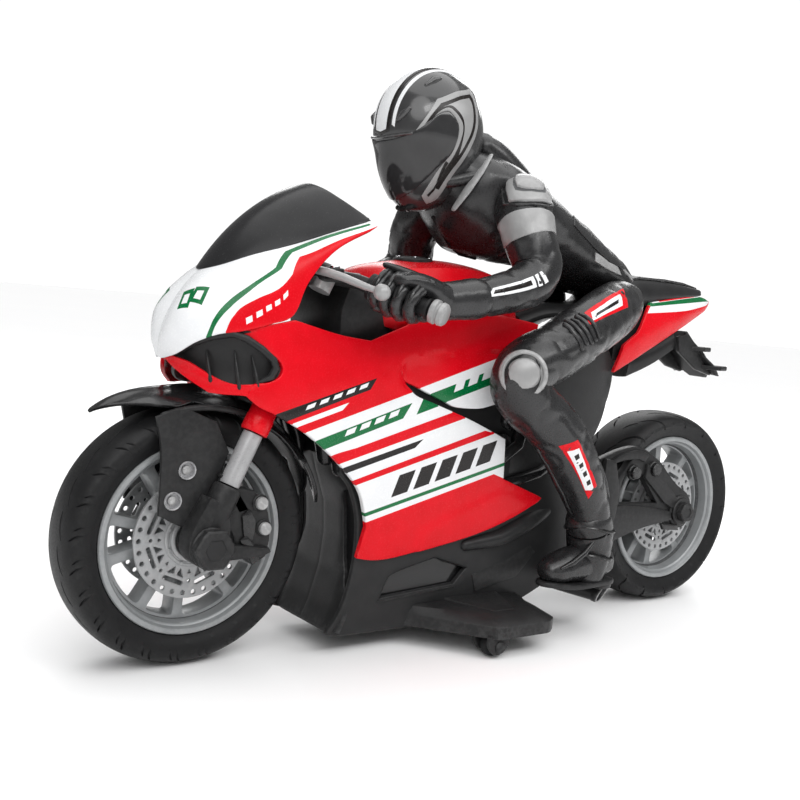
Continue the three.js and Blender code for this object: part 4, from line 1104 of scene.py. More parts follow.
def spoked_ring(outer, pairs, gap_in, width, r_in, r_out):
    """The outline and openings of pairs of straight spokes between the hub and the rim."""
    holes = []
    angles = []
    for k in range(pairs):
        mid = math.tau * k / pairs
        angles += [mid - math.radians(gap_in / 2), mid + math.radians(gap_in / 2)]
    n = len(angles)
    for k in range(n):
        a, b = angles[k], angles[(k + 1) % n] + (math.tau if k == n - 1 else 0)
        steps = 10

        def edge_angle(r, side):
            return math.asin(min(width / 2 / r, 0.9)) * side

        points = []
        a0, b0 = a + edge_angle(r_in, 1), b - edge_angle(r_in, 1)
        a1, b1 = a + edge_angle(r_out, 1), b - edge_angle(r_out, 1)
        points += [(r_in, lerp(a0, b0, t / 5)) for t in range(6)]
        points += [(lerp(r_in, r_out, t / 4), b - edge_angle(lerp(r_in, r_out, t / 4), 1))
            for t in range(1, 4)]
        points += [(r_out, lerp(b1, a1, t / steps)) for t in range(steps + 1)]
        points += [(lerp(r_out, r_in, t / 4), a + edge_angle(lerp(r_out, r_in, t / 4), 1))
            for t in range(1, 4)]
        holes.append(rounded([Vector((r * math.cos(g), r * math.sin(g))) for r, g in points], 1.1))
    return circle(0, 0, outer, 120), holes


def rounded(loop, reach):
    """Cuts the sharp corners of a loop with short curves."""
    loop = wound(loop)
    out = []
    for a, b, c in zip(loop[-1:] + loop[:-1], loop, loop[1:] + loop[:1]):
        turn = (b - a).angle(c - b, 0)
        if turn < math.radians(40):
            out.append(b)
            continue
        d1, d2 = (a - b).normalized(), (c - b).normalized()
        p, q = b + d1 * min(reach, (a - b).length * 0.9), b + d2 * min(reach, (c - b).length * 0.9)
        for k in range(5):
            t = k / 4
            out.append(p.lerp(b, t).lerp(b.lerp(q, t), t))
    return out


def rim(axle, outer, half, inner):
    place = lambda u, v, w: Vector((axle.x + u, w, axle.z + v))
    dish = lathe(rim_profile(outer, half, inner), axle, "rim", 144)
    edge, holes = spoked_ring(inner + 0.4, 5, 29, 2.5, 8.8, inner - 0.9)
    spokes = slab(edge, -3.0, 3.0, "rim", holes + [circle(0, 0, 3.4, 40)], 0.35, place)
    hub = [
        (2.5, -6.4), (4.0, -6.4), (4.3, -6.1), (4.3, -5.0), (6.0, -4.6), (6.5, -4.2), (7.6, -3.1),
        (7.6, 3.1), (6.5, 4.2), (6.0, 4.6),
        (4.3, 5.0), (4.3, 6.1), (4.0, 6.4), (2.5, 6.4),
    ]
    body = lathe(hub, axle, "rim", 72)
    # the inner well of the rim is painted shade grey
    well = lathe([(inner + 0.1, -half + 2.5), (inner - 0.75, -2.2), (inner - 0.75, 2.2),
        (inner + 0.1, half - 2.5), (inner + 0.9, 0)], axle, "rim_dark", 120)
    return Shape().join(dish, spokes, body, well)


def brake_disc(axle, side, radius=14.0):
    """A drilled and slotted disc: holes at its edge, sectors of slots, and a stepped carrier."""
    holes = [circle(12.75 * math.cos(math.tau * k / 30), 12.75 * math.sin(math.tau * k / 30), 0.58, 14)
        for k in range(30)]
    n = 8
    for k in range(n):
        a = math.tau * k / n

        def turn(r, d, a=a):
            return Vector((r * math.cos(a + math.radians(d)), r * math.sin(a + math.radians(d))))

        holes.append(circle(*turn(9.9, 0), 0.42, 12))
        left, right = turn(10.55, 10.5), turn(10.55, 34.5)
        holes.append(slot_outline(left, right, 0.52))
        holes.append(rounded([turn(9.3, 8.5), turn(8.9, 20.5), turn(7.1, 17)], 0.35))
        holes.append(rounded([turn(9.3, 36.5), turn(7.1, 28), turn(8.9, 24.5)], 0.35))
        holes.append(rounded([turn(8.2, -3.2), turn(8.2, 3.2), turn(7.2, 0)], 0.25))
    place = lambda u, v, w: Vector((axle.x + u, side * w, axle.z + v))
    disc = slab(circle(0, 0, radius, 120), 4.95, 5.75, "disc", holes + [circle(0, 0, 4.7, 48)], 0.12, place)
    bosses = Shape()
    carrier = [(4.5, 4.6), (6.4, 4.6), (6.6, 4.9), (6.6, 6.0), (6.35, 6.25), (5.9, 6.25), (5.7, 6.05),
        (5.5, 6.05), (5.3, 6.5), (4.95, 6.7), (4.5, 6.7)]
    bosses.join(lathe([(r, side * w) for r, w in carrier], axle, "disc", 72))
    for k in range(n):
        a = math.tau * (k + 0.5) / n
        bosses.join(bolt((axle.x + 6.0 * math.cos(a), side * 6.2, axle.z + 6.0 * math.sin(a)),
            (0, side, 0), 0.42, 0.3, "disc", False))
    return Shape().join(disc, bosses)


def slot_outline(a, b, half):
    """A slot with round ends from a to b."""
    d = (b - a).normalized()
    start = math.atan2(d.y, d.x)
    out = [b + Vector((half * math.cos(start - math.pi / 2 + math.pi * k / 6),
        half * math.sin(start - math.pi / 2 + math.pi * k / 6))) for k in range(7)]
    out += [a + Vector((half * math.cos(start + math.pi / 2 + math.pi * k / 6),
        half * math.sin(start + math.pi / 2 + math.pi * k / 6))) for k in range(7)]
    return out


def wheels():
    front_profile = tyre_profile(30.0, 7.8, 22.3, 5.9)
    cuts = []
    for side in (1, -1):
        cuts.append(groove(slit(2.2, side * 8.1, 4.6, 0.62, side * 62, 0.35), 0.55))
        cuts.append(groove(slit(4.5, side * 8.6, 3.6, 0.55, side * 62, 0.3), 0.5))
        cuts.append(groove(slit(4.0, side * 3.1, 6.6, 0.5, side * -12, 0.4), 0.5))
    tyre(FRONT_AXLE, front_profile, cuts, 24).emit("tyre_front", "front_wheel", ["front_tyre"],
        "tyre_rubber", weld=0.004, crease=28)
    cuts = []
    for side in (1, -1):
        cuts.append(groove(slit(3.4, side * 6.4, 7.4, 0.75, side * 40, 0.5), 0.6))
        cuts.append(groove(slit(5.9, side * 9.6, 3.6, 0.6, side * 62, 0.3), 0.5))
        cuts.append(groove(slit(8.6, side * 3.0, 5.0, 0.6, side * 30, 0.4), 0.55))
    rear_profile = tyre_profile(29.6, 9.1, 22.3, 6.9)
    tyre(REAR_AXLE, rear_profile, cuts, 17).emit("tyre_rear", "rear_wheel", ["rear_tyre"], "tyre_rubber",
        weld=0.004, crease=28)
    rim(FRONT_AXLE, RIM_OUTER, 5.9, RIM_INNER).emit("rim_front", "front_wheel", ["front_rim"],
        "silver_plastic")
    rim(REAR_AXLE, RIM_OUTER, 6.9, RIM_INNER).emit("rim_rear", "rear_wheel", ["rear_rim"], "silver_plastic")
    for side, name in ((1, "left"), (-1, "right")):
        brake_disc(FRONT_AXLE, side).emit("disc_front_" + name, "front_wheel",
            ["front_brake_disc_" + name], "silver_plastic")
    brake_disc(REAR_AXLE, 1).emit("disc_rear", "rear_wheel", ["rear_brake_disc"], "silver_plastic")


wheels()


# ---------------------------------------------------------------- fork, fender, calipers
FENDER_RADIUS = 32.6


def fender_point(u, v):
    """u is degrees ahead of straight up round the front axle, v -100 to 100 across."""
    a, b = math.radians(u), v / 100
    spread = lerp(7.2, 9.3, smoothstep(36, 8, u))
    droop = (1 - math.cos(b * 1.25)) * lerp(3.4, 5.2, smoothstep(34, 0, u))
    peak = 0.55 * math.exp(-((b / 0.16) ** 2))
    lift = 2.4 * smoothstep(6, 38, u) + 1.2 * smoothstep(-40, -74, u)
    r = FENDER_RADIUS + 0.9 - droop + peak + lift * (1 - 0.5 * abs(b))
    return Vector((FRONT_AXLE.x + r * math.sin(a), spread * math.sin(b * 1.25) / math.sin(1.25),
        FRONT_AXLE.z + r * math.cos(a)))


def fender():
    upper = [(39.5, 0, 1), (33, 24), (27, 52), (20, 78), (13, 88), (6, 78), (0, 88), (-8, 100, 1),
        (-30, 100), (-40, 96), (-52, 100, 1), (-58, 62), (-61, 36, 1), (-72, 44), (-79, 30, 1), (-74, 12),
        (-66, 0)]
    lower = [(u, -v, 1) if len(p) == 3 else (u, -v) for p in upper[1:-1][::-1] for u, v in [p[:2]]]
    edge = curve(upper + lower, 2.2)
    top = skin(edge, fender_point, "gloss", step=4.2, thick=0.9, rim=0.3, out=-1, eps=0.5)
    shape = Shape().join(top)
    # the flat side plates that hang from the fender down to the fork legs, with two round reflectors each
    for side in (1, -1):
        plate = curve([(78.2, 57.5, 1), (86.6, 60.4), (92.6, 58.6, 1), (91.0, 50.4), (90.8, 36.6, 1),
            (84, 33.8), (79.2, 38, 1), (74.5, 50.5, 1)], 1.5)
        wells = [circle(84.6, 46.6, 2.05, 28), circle(87.6, 39.8, 2.05, 28)]
        y0, y1 = 9.2, 10.4
        place = lambda u, v, w, s=side: Vector((u, s * w, v))
        shape.join(slab(plate, y0, y1, "black", wells, 0.3, place))
        for x, z in ((84.6, 46.6), (87.6, 39.8)):
            base = (x, side * 9.3, z)
            shape.join(turned_on([(2.1, 0.2), (2.1, 1.2), (1.95, 1.45), (1.75, 1.2), (1.7, 0.3)], base,
                (0, side, 0), "chrome", 32))
            shape.join(turned_on([(1.68, 0.1), (1.6, 0.25), (1.15, 0.3), (1.05, 0.75), (0.75, 1.0),
                (0.3, 1.08)], base, (0, side, 0), "silver", 32))
        # the arch that joins the plate to the fender
        ridge = [Vector((FRONT_AXLE.x + 30.6 * math.sin(math.radians(a)), side * 9.5,
            FRONT_AXLE.z + 30.6 * math.cos(math.radians(a)))) for a in range(20, -34, -6)]
        shape.join(tube(ridge, 0.75, "black", 12))
    shape.emit("fender", "steering", ["front_fender"], "satin_black")


def fork_legs():
    for side, name in ((1, "left"), (-1, "right")):
        base = on_steer(3.0, side * FORK_Y, 0)
        sleeve = [(2.4, -13.0), (3.1, -13.0), (3.25, -12.7), (3.25, -9.4), (3.1, -9.1), (3.1, -2.2),
            (2.9, -1.8), (2.2, -1.8)]
        turned_on([(r, w) for r, w in sleeve], base, STEER_UP, "red", 40).emit("sleeve_" + name,
            "steering", ["fork_sleeve_" + name], "gloss_red")
        tube_profile = [(1.4, -26.0), (2.3, -26.0), (2.35, -25.6), (2.35, -14.0), (2.3, -13.3),
            (1.8, -13.3)]
        turned_on(tube_profile, base, STEER_UP, "stanchion", 40).emit("stanchion_" + name, "steering",
            ["fork_stanchion_" + name], "silver_plastic")
        lower_leg(side, name)


def lower_leg(side, name):
    """The bottom of one fork leg: the tube, the axle clamp, the caliper and the torque arm."""
    base = on_steer(3.0, side * FORK_Y, 0)
    shape = Shape()
    shape.join(turned_on([(1.0, -40.5), (2.9, -40.5), (3.1, -40), (3.1, -34), (3.35, -33), (3.35, -27.2),
        (3.1, -26.4), (1.6, -26.3)], base, STEER_UP, "black", 36))
    place = lambda u, v, w, s=side: Vector((u, s * w, v))
    flat = curve([(76.6, 39.6, 1), (80.8, 41.2, 1), (84.8, 33.6), (85.2, 28.6), (82.4, 25.6), (78, 25.7),
        (75.6, 29), (75.4, 34)], 1.2)
    shape.join(slab(flat, 9.5, 15.3, "black", [], 0.5, place))
    clamp = [(4.3, 9.2), (4.6, 9.6), (4.6, 14.6), (4.2, 15.2), (3.4, 15.4), (3.0, 15.4), (2.3, 14.6),
        (2.3, 9.2)]
    shape.join(lathe([(r, side * w) for r, w in clamp], FRONT_AXLE, "black", 48))
    # hub side collar with fine ribs, between the clamp and the disc, in painted shade black
    collar = [(2.4, 6.9), (4.4, 6.9), (4.5, 7.2), (4.5, 8.4), (4.1, 8.6), (4.1, 9.3), (2.4, 9.3)]
    shape.join(lathe([(r, side * w) for r, w in collar], FRONT_AXLE, "deep", 48))
    # caliper
    outline = curve([(77.4, 38.8, 1), (73.5, 42.4), (68.2, 41.8, 1), (64.6, 37.2), (63.4, 31.0),
        (64.2, 26.0, 1), (67.4, 24.2, 1), (71.4, 27.6), (73.6, 32.2), (76.2, 34.6, 1)], 1.0)
    shape.join(slab(outline, 6.6, 12.4, "black", [], 0.8, place))
    pocket = curve([(71.6, 36.2, 1), (69.6, 37.6), (67.8, 34), (68.4, 30.4, 1), (70.6, 31)], 0.8)
    shape.join(slab(pocket, 12.3, 13.1, "gloss", [], 0.35, place))
    shape.join(slab(curve([(71.8, 30.5, 1), (70, 31.5), (66.8, 27.5), (66.6, 25.2, 1), (68.4, 24.8, 1)],
        0.8), 12.2, 13.4, "gloss", [], 0.4, place))
    for x, z in ((66.9, 39.0), (65.6, 33.0)):
        shape.join(turned_on([(2.0, 0), (2.0, 0.5), (1.8, 0.7), (1.65, 0.7)], (x, side * 12.2, z),
            (0, side, 0), "black", 28))
        shape.join(turned_on([(1.5, 0.6), (1.5, 1.5), (1.3, 1.75), (0.5, 1.82)], (x, side * 12.2, z),
            (0, side, 0), "silver", 28))
    # torque arm: a tapered pointed bar from the clamp back to the caliper
    arm = curve([(77.6, 30.4, 1), (72, 29.6), (64.6, 28.6, 1), (64.0, 27.6, 1), (66.4, 26.6, 1),
        (72, 26.4), (77.0, 26.2, 1)], 1.0)
    shape.join(slab(arm, 11.8, 14.4, "black", [], 0.45, place))
    shape.join(slab(curve([(74.6, 45, 1), (77.6, 46, 1), (72.2, 36.6, 1), (69.4, 37.4, 1)], 1.0), 10.4,
        12.4, "black", [], 0.3, place))
    shape.emit("fork_foot_" + name, "steering", ["fork_lower_" + name], "satin_black")


def front_axle():
    shape = Shape()
    shape.join(lathe([(0.4, -15.6), (1.95, -15.6), (1.95, 15.6), (0.4, 15.6)], FRONT_AXLE, "steel", 32))
    for side in (1, -1):
        base = (FRONT_AXLE.x, side * 15.4, FRONT_AXLE.z)
        shape.join(turned_on([(4.7, 0), (4.7, 0.45), (4.4, 0.7), (3.4, 0.7)], base, (0, side, 0), "black",
            40))
        shape.join(hexagon((FRONT_AXLE.x, side * 16.0, FRONT_AXLE.z), (0, side, 0), 4.35, 2.5, "black",
            0.2))
    shape.emit("axle_front", "steering", ["front_axle"], "steel")


fender()
fork_legs()
front_axle()
# ---------------------------------------------------------------- rider figure
class Limb:
    """A soft body along a path. Stations are (x, y, z, half width, upper half depth, lower half depth)."""

    def __init__(self, stations, folds=0.0, fold_size=6.0, seed=0.0):
        rows = [Vector(tuple(s) + (s[4],) * (6 - len(s))) for s in stations]
        self.folds, self.fold_size, self.seed = folds, fold_size, seed
        self.rows, self.reach = [], []
        for i in range(len(rows) - 1):
            p0 = rows[i - 1] if i else rows[0] * 2 - rows[1]
            p3 = rows[i + 2] if i + 2 < len(rows) else rows[-1] * 2 - rows[-2]
            count = max(2, round((rows[i + 1] - rows[i]).length / 0.8))
            self.rows += [catmull(p0, rows[i], rows[i + 1], p3, k / count) for k in range(count)]
        self.rows.append(rows[-1])
        at = 0.0
        side = Vector((0, 1, 0))
        self.frames = []
        for i, row in enumerate(self.rows):
            if i:
                at += (Vector(row[:3]) - Vector(self.rows[i - 1][:3])).length
            self.reach.append(at)
            ahead = Vector(self.rows[min(i + 1, len(self.rows) - 1)][:3]) - Vector(
                self.rows[max(i - 1, 0)][:3])
            ahead.normalize()
            side = (side - ahead * side.dot(ahead)).normalized()
            self.frames.append((side.copy(), ahead.cross(side)))
        self.length = at

    def at(self, u, a, lift=0.0):
        """The point u millimetres along and a degrees round from the +Y side, raised by lift."""
        u = min(max(u, 0.0), self.length - 1e-6)
        i = max(k for k, r in enumerate(self.reach) if r <= u)
        i = min(i, len(self.rows) - 2)
        t = (u - self.reach[i]) / (self.reach[i + 1] - self.reach[i])
        row = self.rows[i].lerp(self.rows[i + 1], t)
        side = self.frames[i][0].lerp(self.frames[i + 1][0], t)
        up = self.frames[i][1].lerp(self.frames[i + 1][1], t)
        if up.z < 0 and abs(up.z) > 0.3 and self.frames[0][1].z < 0:
            up = -up
        c, s = math.cos(math.radians(a)), math.sin(math.radians(a))
        depth = row[4] if s > 0 else row[5]
        if self.folds:
            n = noise.noise(Vector((u / self.fold_size + self.seed, 1.1 * c, 1.1 * s + self.seed)))
            m = noise.noise(Vector((u / self.fold_size * 0.5 + 9 + self.seed, 1.7 * c + u * 0.05, 1.7 * s)))
            lift += -self.folds * max(0.0, 1 - abs(n) * 4.5) ** 1.5 + self.folds * 0.9 * m
        return Vector(row[:3]) + side * (c * (row[3] + lift)) + up * (s * (depth + lift))

    def body(self, finish, sides=56, step=0.9, ends=True, finishes=None):
        count = max(4, round(self.length / step))
        loops = [[self.at(self.length * k / count, 360 * i / sides) for i in range(sides)]
            for k in range(count + 1)]
        if ends:
            for k in (0, -1):
                loop = loops[k]
                centre = sum(loop, Vector()) / sides
                out = (centre - sum(loops[1 if k == 0 else -2], Vector()) / sides).normalized()
                size = sum((p - centre).length for p in loop) / sides
                caps = [[centre.lerp(p, math.cos(b)) + out * (size * 0.6 * math.sin(b)) for p in loop]
                    for b in (0.4, 0.8, 1.2, 1.45)]
                loops = caps[::-1] + loops if k == 0 else loops + caps
        return rings(loops, finish, True, finishes)

    def patch(self, edge, finish, prints=(), lift=0.2, thick=0.8, step=1.2, rim=0.2, holes=()):
        """A raised patch: its outline is (millimetres along, degrees round)."""
        place = lambda u, v: self.at(u, v * 10, lift)
        squeeze = lambda loop: [(p[0], p[1] / 10) + tuple(p[2:]) for p in loop]
        flat = [(curve(squeeze(loop), 1.2), f) for loop, f in prints]
        mid = sum((Vector(p[:2]) for p in edge), Vector((0, 0))) / len(edge)
        outward = self.at(mid.x, mid.y, 1.0) - self.at(mid.x, mid.y, 0.0)
        n = numeric_normal(place, mid.x, mid.y / 10, 0.05)
        out = 1 if n.dot(outward) > 0 else -1
        return skin(curve(squeeze(edge), 1.2), place, finish, flat,
            [curve(squeeze(h), 1.2) for h in holes], step, thick, rim, out)


HEAD = Vector((18.4, 0, 130.6))
HEAD_TILT = 0.12


def head(phi, theta, lift=0.0):
    """A point of the helmet: phi degrees round from straight ahead to the left, theta degrees up."""
    p, t = math.radians(phi), math.radians(theta)
    return head_towards(Vector((math.cos(t) * math.cos(p), math.cos(t) * math.sin(p), math.sin(t))), lift)


def head_towards(d, lift=0.0):
    d = d.normalized()
    crown = 1 / math.sqrt((d.x / 14.9) ** 2 + (d.y / 12.7) ** 2 + (d.z / 16.2) ** 2)
    q, c = Vector((d.x / 9.9, d.y / 9.4, d.z / 9.4)), Vector((5.4 / 9.9, 0, -9.6 / 9.4))
    aa, bb, cc = q.dot(q), -2 * q.dot(c), c.dot(c) - 1
    disc = bb * bb - 4 * aa * cc
    chin = (-bb + math.sqrt(disc)) / (2 * aa) if disc > 0 else 0.001
    r = (crown**10 + max(chin, 0.001) ** 10) ** 0.1
    # a soft spoiler lip at the back of the crown and a pinch under the cheeks
    r += 0.9 * math.exp(-(((math.degrees(math.asin(d.z)) - 44) / 11) ** 2)) * smoothstep(-0.2, -0.75, d.x)
    p = d * (r + lift)
    c, s = math.cos(HEAD_TILT), math.sin(HEAD_TILT)
    p = Vector((p.x * c + p.z * s, p.y, p.z * c - p.x * s))
    # the face narrows and draws back towards a pointed chin
    tuck = smoothstep(-2.0, -17.0, p.z)
    return HEAD + Vector((p.x - 2.6 * tuck, p.y * (1 - 0.3 * tuck * smoothstep(-6, 8, p.x)),
        p.z - 1.0 * tuck * smoothstep(0, 10, p.x)))


def crown(u, v, lift=0.0):
    """A point near the helmet's middle plane: u degrees from ahead over the top, v mm to the left."""
    a = math.radians(u)
    return head_towards(Vector((math.cos(a) * 15.5, v, math.sin(a) * 15.5)), lift)


def helmet():
    shell = Shape()
    across, up = 120, 72
    verts = [head(360 * i / across, -89 + 178 * k / up) for k in range(up + 1) for i in range(across)]
    loops = [verts[k * across:(k + 1) * across] for k in range(up + 1)]
    shell.join(rings(loops, "helmet"))
    stripe = curve([(2, -2.2), (0, 0), (2, 2.2), (60, 2.6), (120, 2.4), (166, 1.6, 1), (166, -1.6, 1),
        (120, -2.4), (60, -2.6)], 4)
    place = lambda u, v: crown(u, v, 0.16)
    outline = curve([(0, -3.1), (-3, 0), (0, 3.1), (60, 3.5), (120, 3.2), (168, 2.2, 1), (168, -2.2, 1),
        (120, -3.2), (60, -3.5)], 4)
    side_of = 1 if numeric_normal(place, 80, 0).z > 0 else -1
    shell.join(skin(outline, place, "ink", [(stripe, "white")], (), 3.0, 0.5, 0.12, side_of))
    for side in (1, -1):
        lane = curve([(6, side * 4.2, 1), (60, side * 4.6), (120, side * 4.2), (164, side * 3.0, 1),
            (164, side * 3.6, 1), (120, side * 5.2), (60, side * 5.6), (4, side * 5.0, 1)], 4)
        shell.join(skin(lane, place, "white", (), (), 3.0, 0.5, 0.1, side_of))
    hook = [(38, -4, 1), (50, 12), (64, 32, 1), (96, 42), (126, 44, 1), (129, 30), (120, 2), (106, -22),
        (86, -44), (60, -61), (42, -62, 1), (41, -52, 1), (58, -42), (75, -30), (87, -10), (89, 6),
        (78, 20), (66, 17), (54, 7)]
    line = [(49, 5, 1), (57, 16), (68, 28, 1), (98, 37), (120, 39, 1), (123, 30), (115, 3), (101, -20),
        (83, -40), (62, -54, 1), (56, -50, 1), (68, -42), (81, -30), (92, -10), (94, 8), (80, 23),
        (67, 20), (57, 11)]
    panel = [(70, 24, 1), (84, 29), (98, 33), (115, 35, 1), (117, 27), (110, 3), (98, -17), (90, -27, 1),
        (94, -14), (97, 4), (94, 16), (82, 26)]
    blocks = [[(60, -47, 1), (68, -42, 1), (76, -34, 1), (73, -32, 1)],
        [(48, -55, 1), (57, -52, 1), (60, -49, 1), (47, -53, 1)]]
    side_place = lambda u, v: head(u, v, 0.18)
    n = numeric_normal(side_place, 80, 0, 0.5)
    prints = [(curve(line, 3), "ink"), (curve(panel, 3), "silver")]
    left = skin(curve(hook, 3), side_place, "silver", prints, (), 5, 0.5, 0.12, 1 if n.y > 0 else -1, None,
        0.5)
    for b in blocks:
        left.join(skin(curve(b, 3), lambda u, v: head(u, v, 0.3), "ink", (), (), 5, 0.3, 0.05,
            1 if n.y > 0 else -1, None, 0.5))
    # small crown vents and the brow line over the visor
    left.join(tube([head(phi, th, 0.1) for phi, th in ((22, 10), (27, 16), (33, 21))], [0.5, 0.9, 0.5],
        "helmet", 12))
    left.join(tube([head(phi, th, -0.1) for phi, th in ((50, 48), (62, 55), (74, 58))], [0.5, 1.0, 0.6],
        "helmet", 12))
    left.join(tube([head(phi, -5.4 + phi * 0.06, 0.3) for phi in range(0, 38, 6)], 0.4, "helmet", 10))
    shell.join(left.both_sides())
    # the chin vent, its slots in painted shade black
    for phi in (-16, 0, 16):
        shell.join(tube([head(phi - 5, -58, 0.1), head(phi, -57, 0.35), head(phi + 5, -58, 0.1)], 0.7,
            "deep", 10))
    shell.emit("helmet", "frame", ["rider_helmet"], "rider_suit")
    half = [(0, -9), (20, -8), (38, -3), (52, 5), (64, 15), (76, 18), (85, 8), (86, -8), (77, -26),
        (60, -36), (42, -42), (22, -46), (0, -48)]
    edge = curve(half + [(-a, b) for a, b in half[1:-1][::-1]], 3)
    face = lambda u, v: head(u, v, 0.45)
    n = numeric_normal(face, 0, -25, 0.5)
    skin(edge, face, "visor", (), (), 4, 0.9, 0.3, 1 if n.x > 0 else -1, None, 0.5).emit("visor", "frame",
        ["rider_visor"], "smoked_plastic")


def torso():
    trunk = Limb([(-51, 0, 95, 11.6, 4.6, 3), (-46, 0, 97.4, 14, 7.6, 5), (-36, 0, 101, 14.4, 9.4, 7),
        (-24, 0, 106.8, 14.8, 10.0, 9), (-10, 0, 113.6, 16.6, 9.6, 15), (0, 0, 118, 17.6, 9.2, 18),
        (7, 0, 120.4, 15, 8.2, 15), (12, 0, 122.6, 10, 6.4, 10)], 0.34, 7.5, 3.0)
    shape = Shape().join(trunk.body("suit", 84, 0.9))
    hump = Limb([(-19, 0, 113.6, 7.4, 4.2), (-12, 0, 119.5, 8.6, 5.4), (-6, 0, 123.6, 8.4, 6.0),
        (-1, 0, 127.2, 7.6, 5.6), (2.4, 0, 129.6, 6.4, 4.2)])
    shape.join(hump.body("suit", 48))
    # collar ring round the neck, open at the throat
    ring = [Vector((9.5 + 9.6 * math.cos(a), 10.2 * math.sin(a), 120.6 - 3.2 * math.cos(a)))
        for a in [math.radians(d) for d in range(35, 326, 10)]]
    shape.join(tube(ring, 1.7, "suit", 16, True, 1.0))
    left = Shape()
    left.join(tube([(6.6, 11.4, 126.0), (10.2, 12.2, 121.4), (13.6, 11.6, 116.2), (15.6, 9.8, 111.8)],
        [0.7, 1.25, 1.35, 0.9], "silver", 14, True, 0.45))
    left.join(trunk.patch([(8, 22), (20, 14, 1), (33, 20, 1), (31, 48), (18, 56), (9, 46)], "suit", (),
        0.45, 0.9))
    left.join(trunk.patch([(10, 4, 1), (21, -4, 1), (22, 8, 1), (12, 14, 1)], "silver", (), 0.4, 0.8))
    left.join(trunk.patch([(1.5, 30), (5, 14, 1), (10, 24), (10, 44), (5, 54)], "silver",
        [([(3, 31), (5.5, 20, 1), (8.4, 26), (8.4, 42), (5, 48)], "suit")], 0.4, 0.8))
    for k in range(6):
        u = 36 + 2.1 * k
        left.join(tube([trunk.at(u, a, 0.1) for a in (-64, -52, -40, -28)], 0.5, "suit", 8))
    shape.join(left.both_sides())
    # zip down the chest, a groove line in painted shade black
    shape.join(tube([trunk.at(u, -90, 0.1) for u in (66, 60, 54, 48)], 0.45, "deep", 8))
    shape.emit("torso", "frame", ["rider_torso"], "rider_suit")


def arm(name, side):
    whole = Limb([(-2, 15.5, 115, 5.6, 5.6), (1, 19.2, 113.4, 7.0, 7.2), (2.4, 22.2, 109.4, 7.1, 7.1),
        (2.6, 24.8, 104.6, 6.6, 6.6), (1.4, 26.8, 99.6, 6.2, 6.4), (3.4, 28.1, 95.4, 5.9, 6.0),
        (9, 28.6, 92.6, 5.4, 5.4), (18, 28.3, 90.2, 4.7, 4.7), (26, 28, 88.9, 4.2, 4.2)], 0.36, 5.4, 1.4)
    shape = Shape().join(whole.body("suit", 60, 0.8))
    cuff = Limb([(20.4, 28.3, 89.7, 4.8, 4.8), (22, 28.2, 89.4, 5.0, 5.0), (27, 28, 88.8, 4.7, 4.7),
        (32, 27.8, 88.3, 4.5, 4.5)], 0.12, 4.0, 2.0)
    shape.join(cuff.body("suit", 48, 0.8))
    # silver band round the upper arm
    mid = aim(whole, 13.4, Vector((0.35 * side, 0.85, 0.2)))
    span = 98 if side > 0 else 62
    band = [(10.8, mid - span, 1), (10.8, mid), (10.8, mid + span, 1), (15.6, mid + span, 1), (15.6, mid),
        (15.6, mid - span, 1)]
    shape.join(whole.patch(band, "silver", (), 0.3, 0.8, 1.0, 0.2))
    facing = lambda u: aim(whole, u, Vector((0.55, 0.8, 0.35)))
    # printed block and two slashes on the forearm
    u, a = 36.5, facing(36.5) - 14
    shape.join(whole.patch([(u - 5.5, a + 16, 1), (u + 6.4, a + 16, 1), (u + 8.6, a - 8, 1),
        (u - 5.5, a - 12, 1)], "white",
        [([(u - 4.5, a + 9, 1), (u + 6.2, a + 9, 1), (u + 7, a - 2, 1), (u - 4.5, a - 4, 1)], "ink")],
        0.12, 0.4, 1.2, 0.08))
    for k in (0, 1):
        s = u - 7.2 - 1.8 * k
        shape.join(whole.patch([(s, a + 16, 1), (s + 1, a + 16, 1), (s + 1, a - 14, 1), (s, a - 14, 1)],
            "white", (), 0.12, 0.4, 1.2, 0.08))
    # shoulder pad: a D-shaped cup with a raised middle
    u = 4.2
    a = aim(whole, u, Vector((0.46, 0.7, 0.75)))
    dee = [(u - 4.4, a + 26), (u - 5.0, a), (u - 4.4, a - 26), (u, a - 46), (u + 3.8, a - 42, 1),
        (u + 4.6, a), (u + 3.8, a + 42, 1), (u, a + 44)]
    small = [(u + (p[0] - u) * 0.52, a + (p[1] - a) * 0.52) for p in dee]
    groove = [(u + (p[0] - u) * 0.68, a + (p[1] - a) * 0.68) for p in dee]
    # the groove ring round the raised middle is painted shade grey
    shape.join(whole.patch(dee, "silver", [(groove, "rim_dark"), (small, "silver")], 0.9, 1.3, 1.0, 0.6))
    shape.join(whole.patch(small, "silver", (), 1.45, 0.8, 1.0, 0.5))
    shape.join(tube([whole.at(u, a + b, 0.2) for u, b in ((-0.2, 58), (4, 62), (8, 58), (9.6, 30),
        (9.9, 0), (9.6, -30), (8, -58), (4, -62), (-0.2, -58))], 0.35, "suit", 8))
    shape = shape if side > 0 else shape.mirrored()
    shape.join(glove() if side > 0 else glove().mirrored())
    shape.emit("arm_" + name, "frame", ["rider_arm_" + name], "rider_suit")


def aim(limb, u, direction):
    """The angle round a limb whose surface looks most nearly in a direction."""
    centre = (limb.at(u, 0) + limb.at(u, 180)) / 2
    return max(range(-180, 180, 5), key=lambda a: (limb.at(u, a) - centre).normalized().dot(direction))


GRIP_INNER, GRIP_OUTER = Vector((45.6, 21.5, 90)), Vector((38.2, 33.2, 86.2))


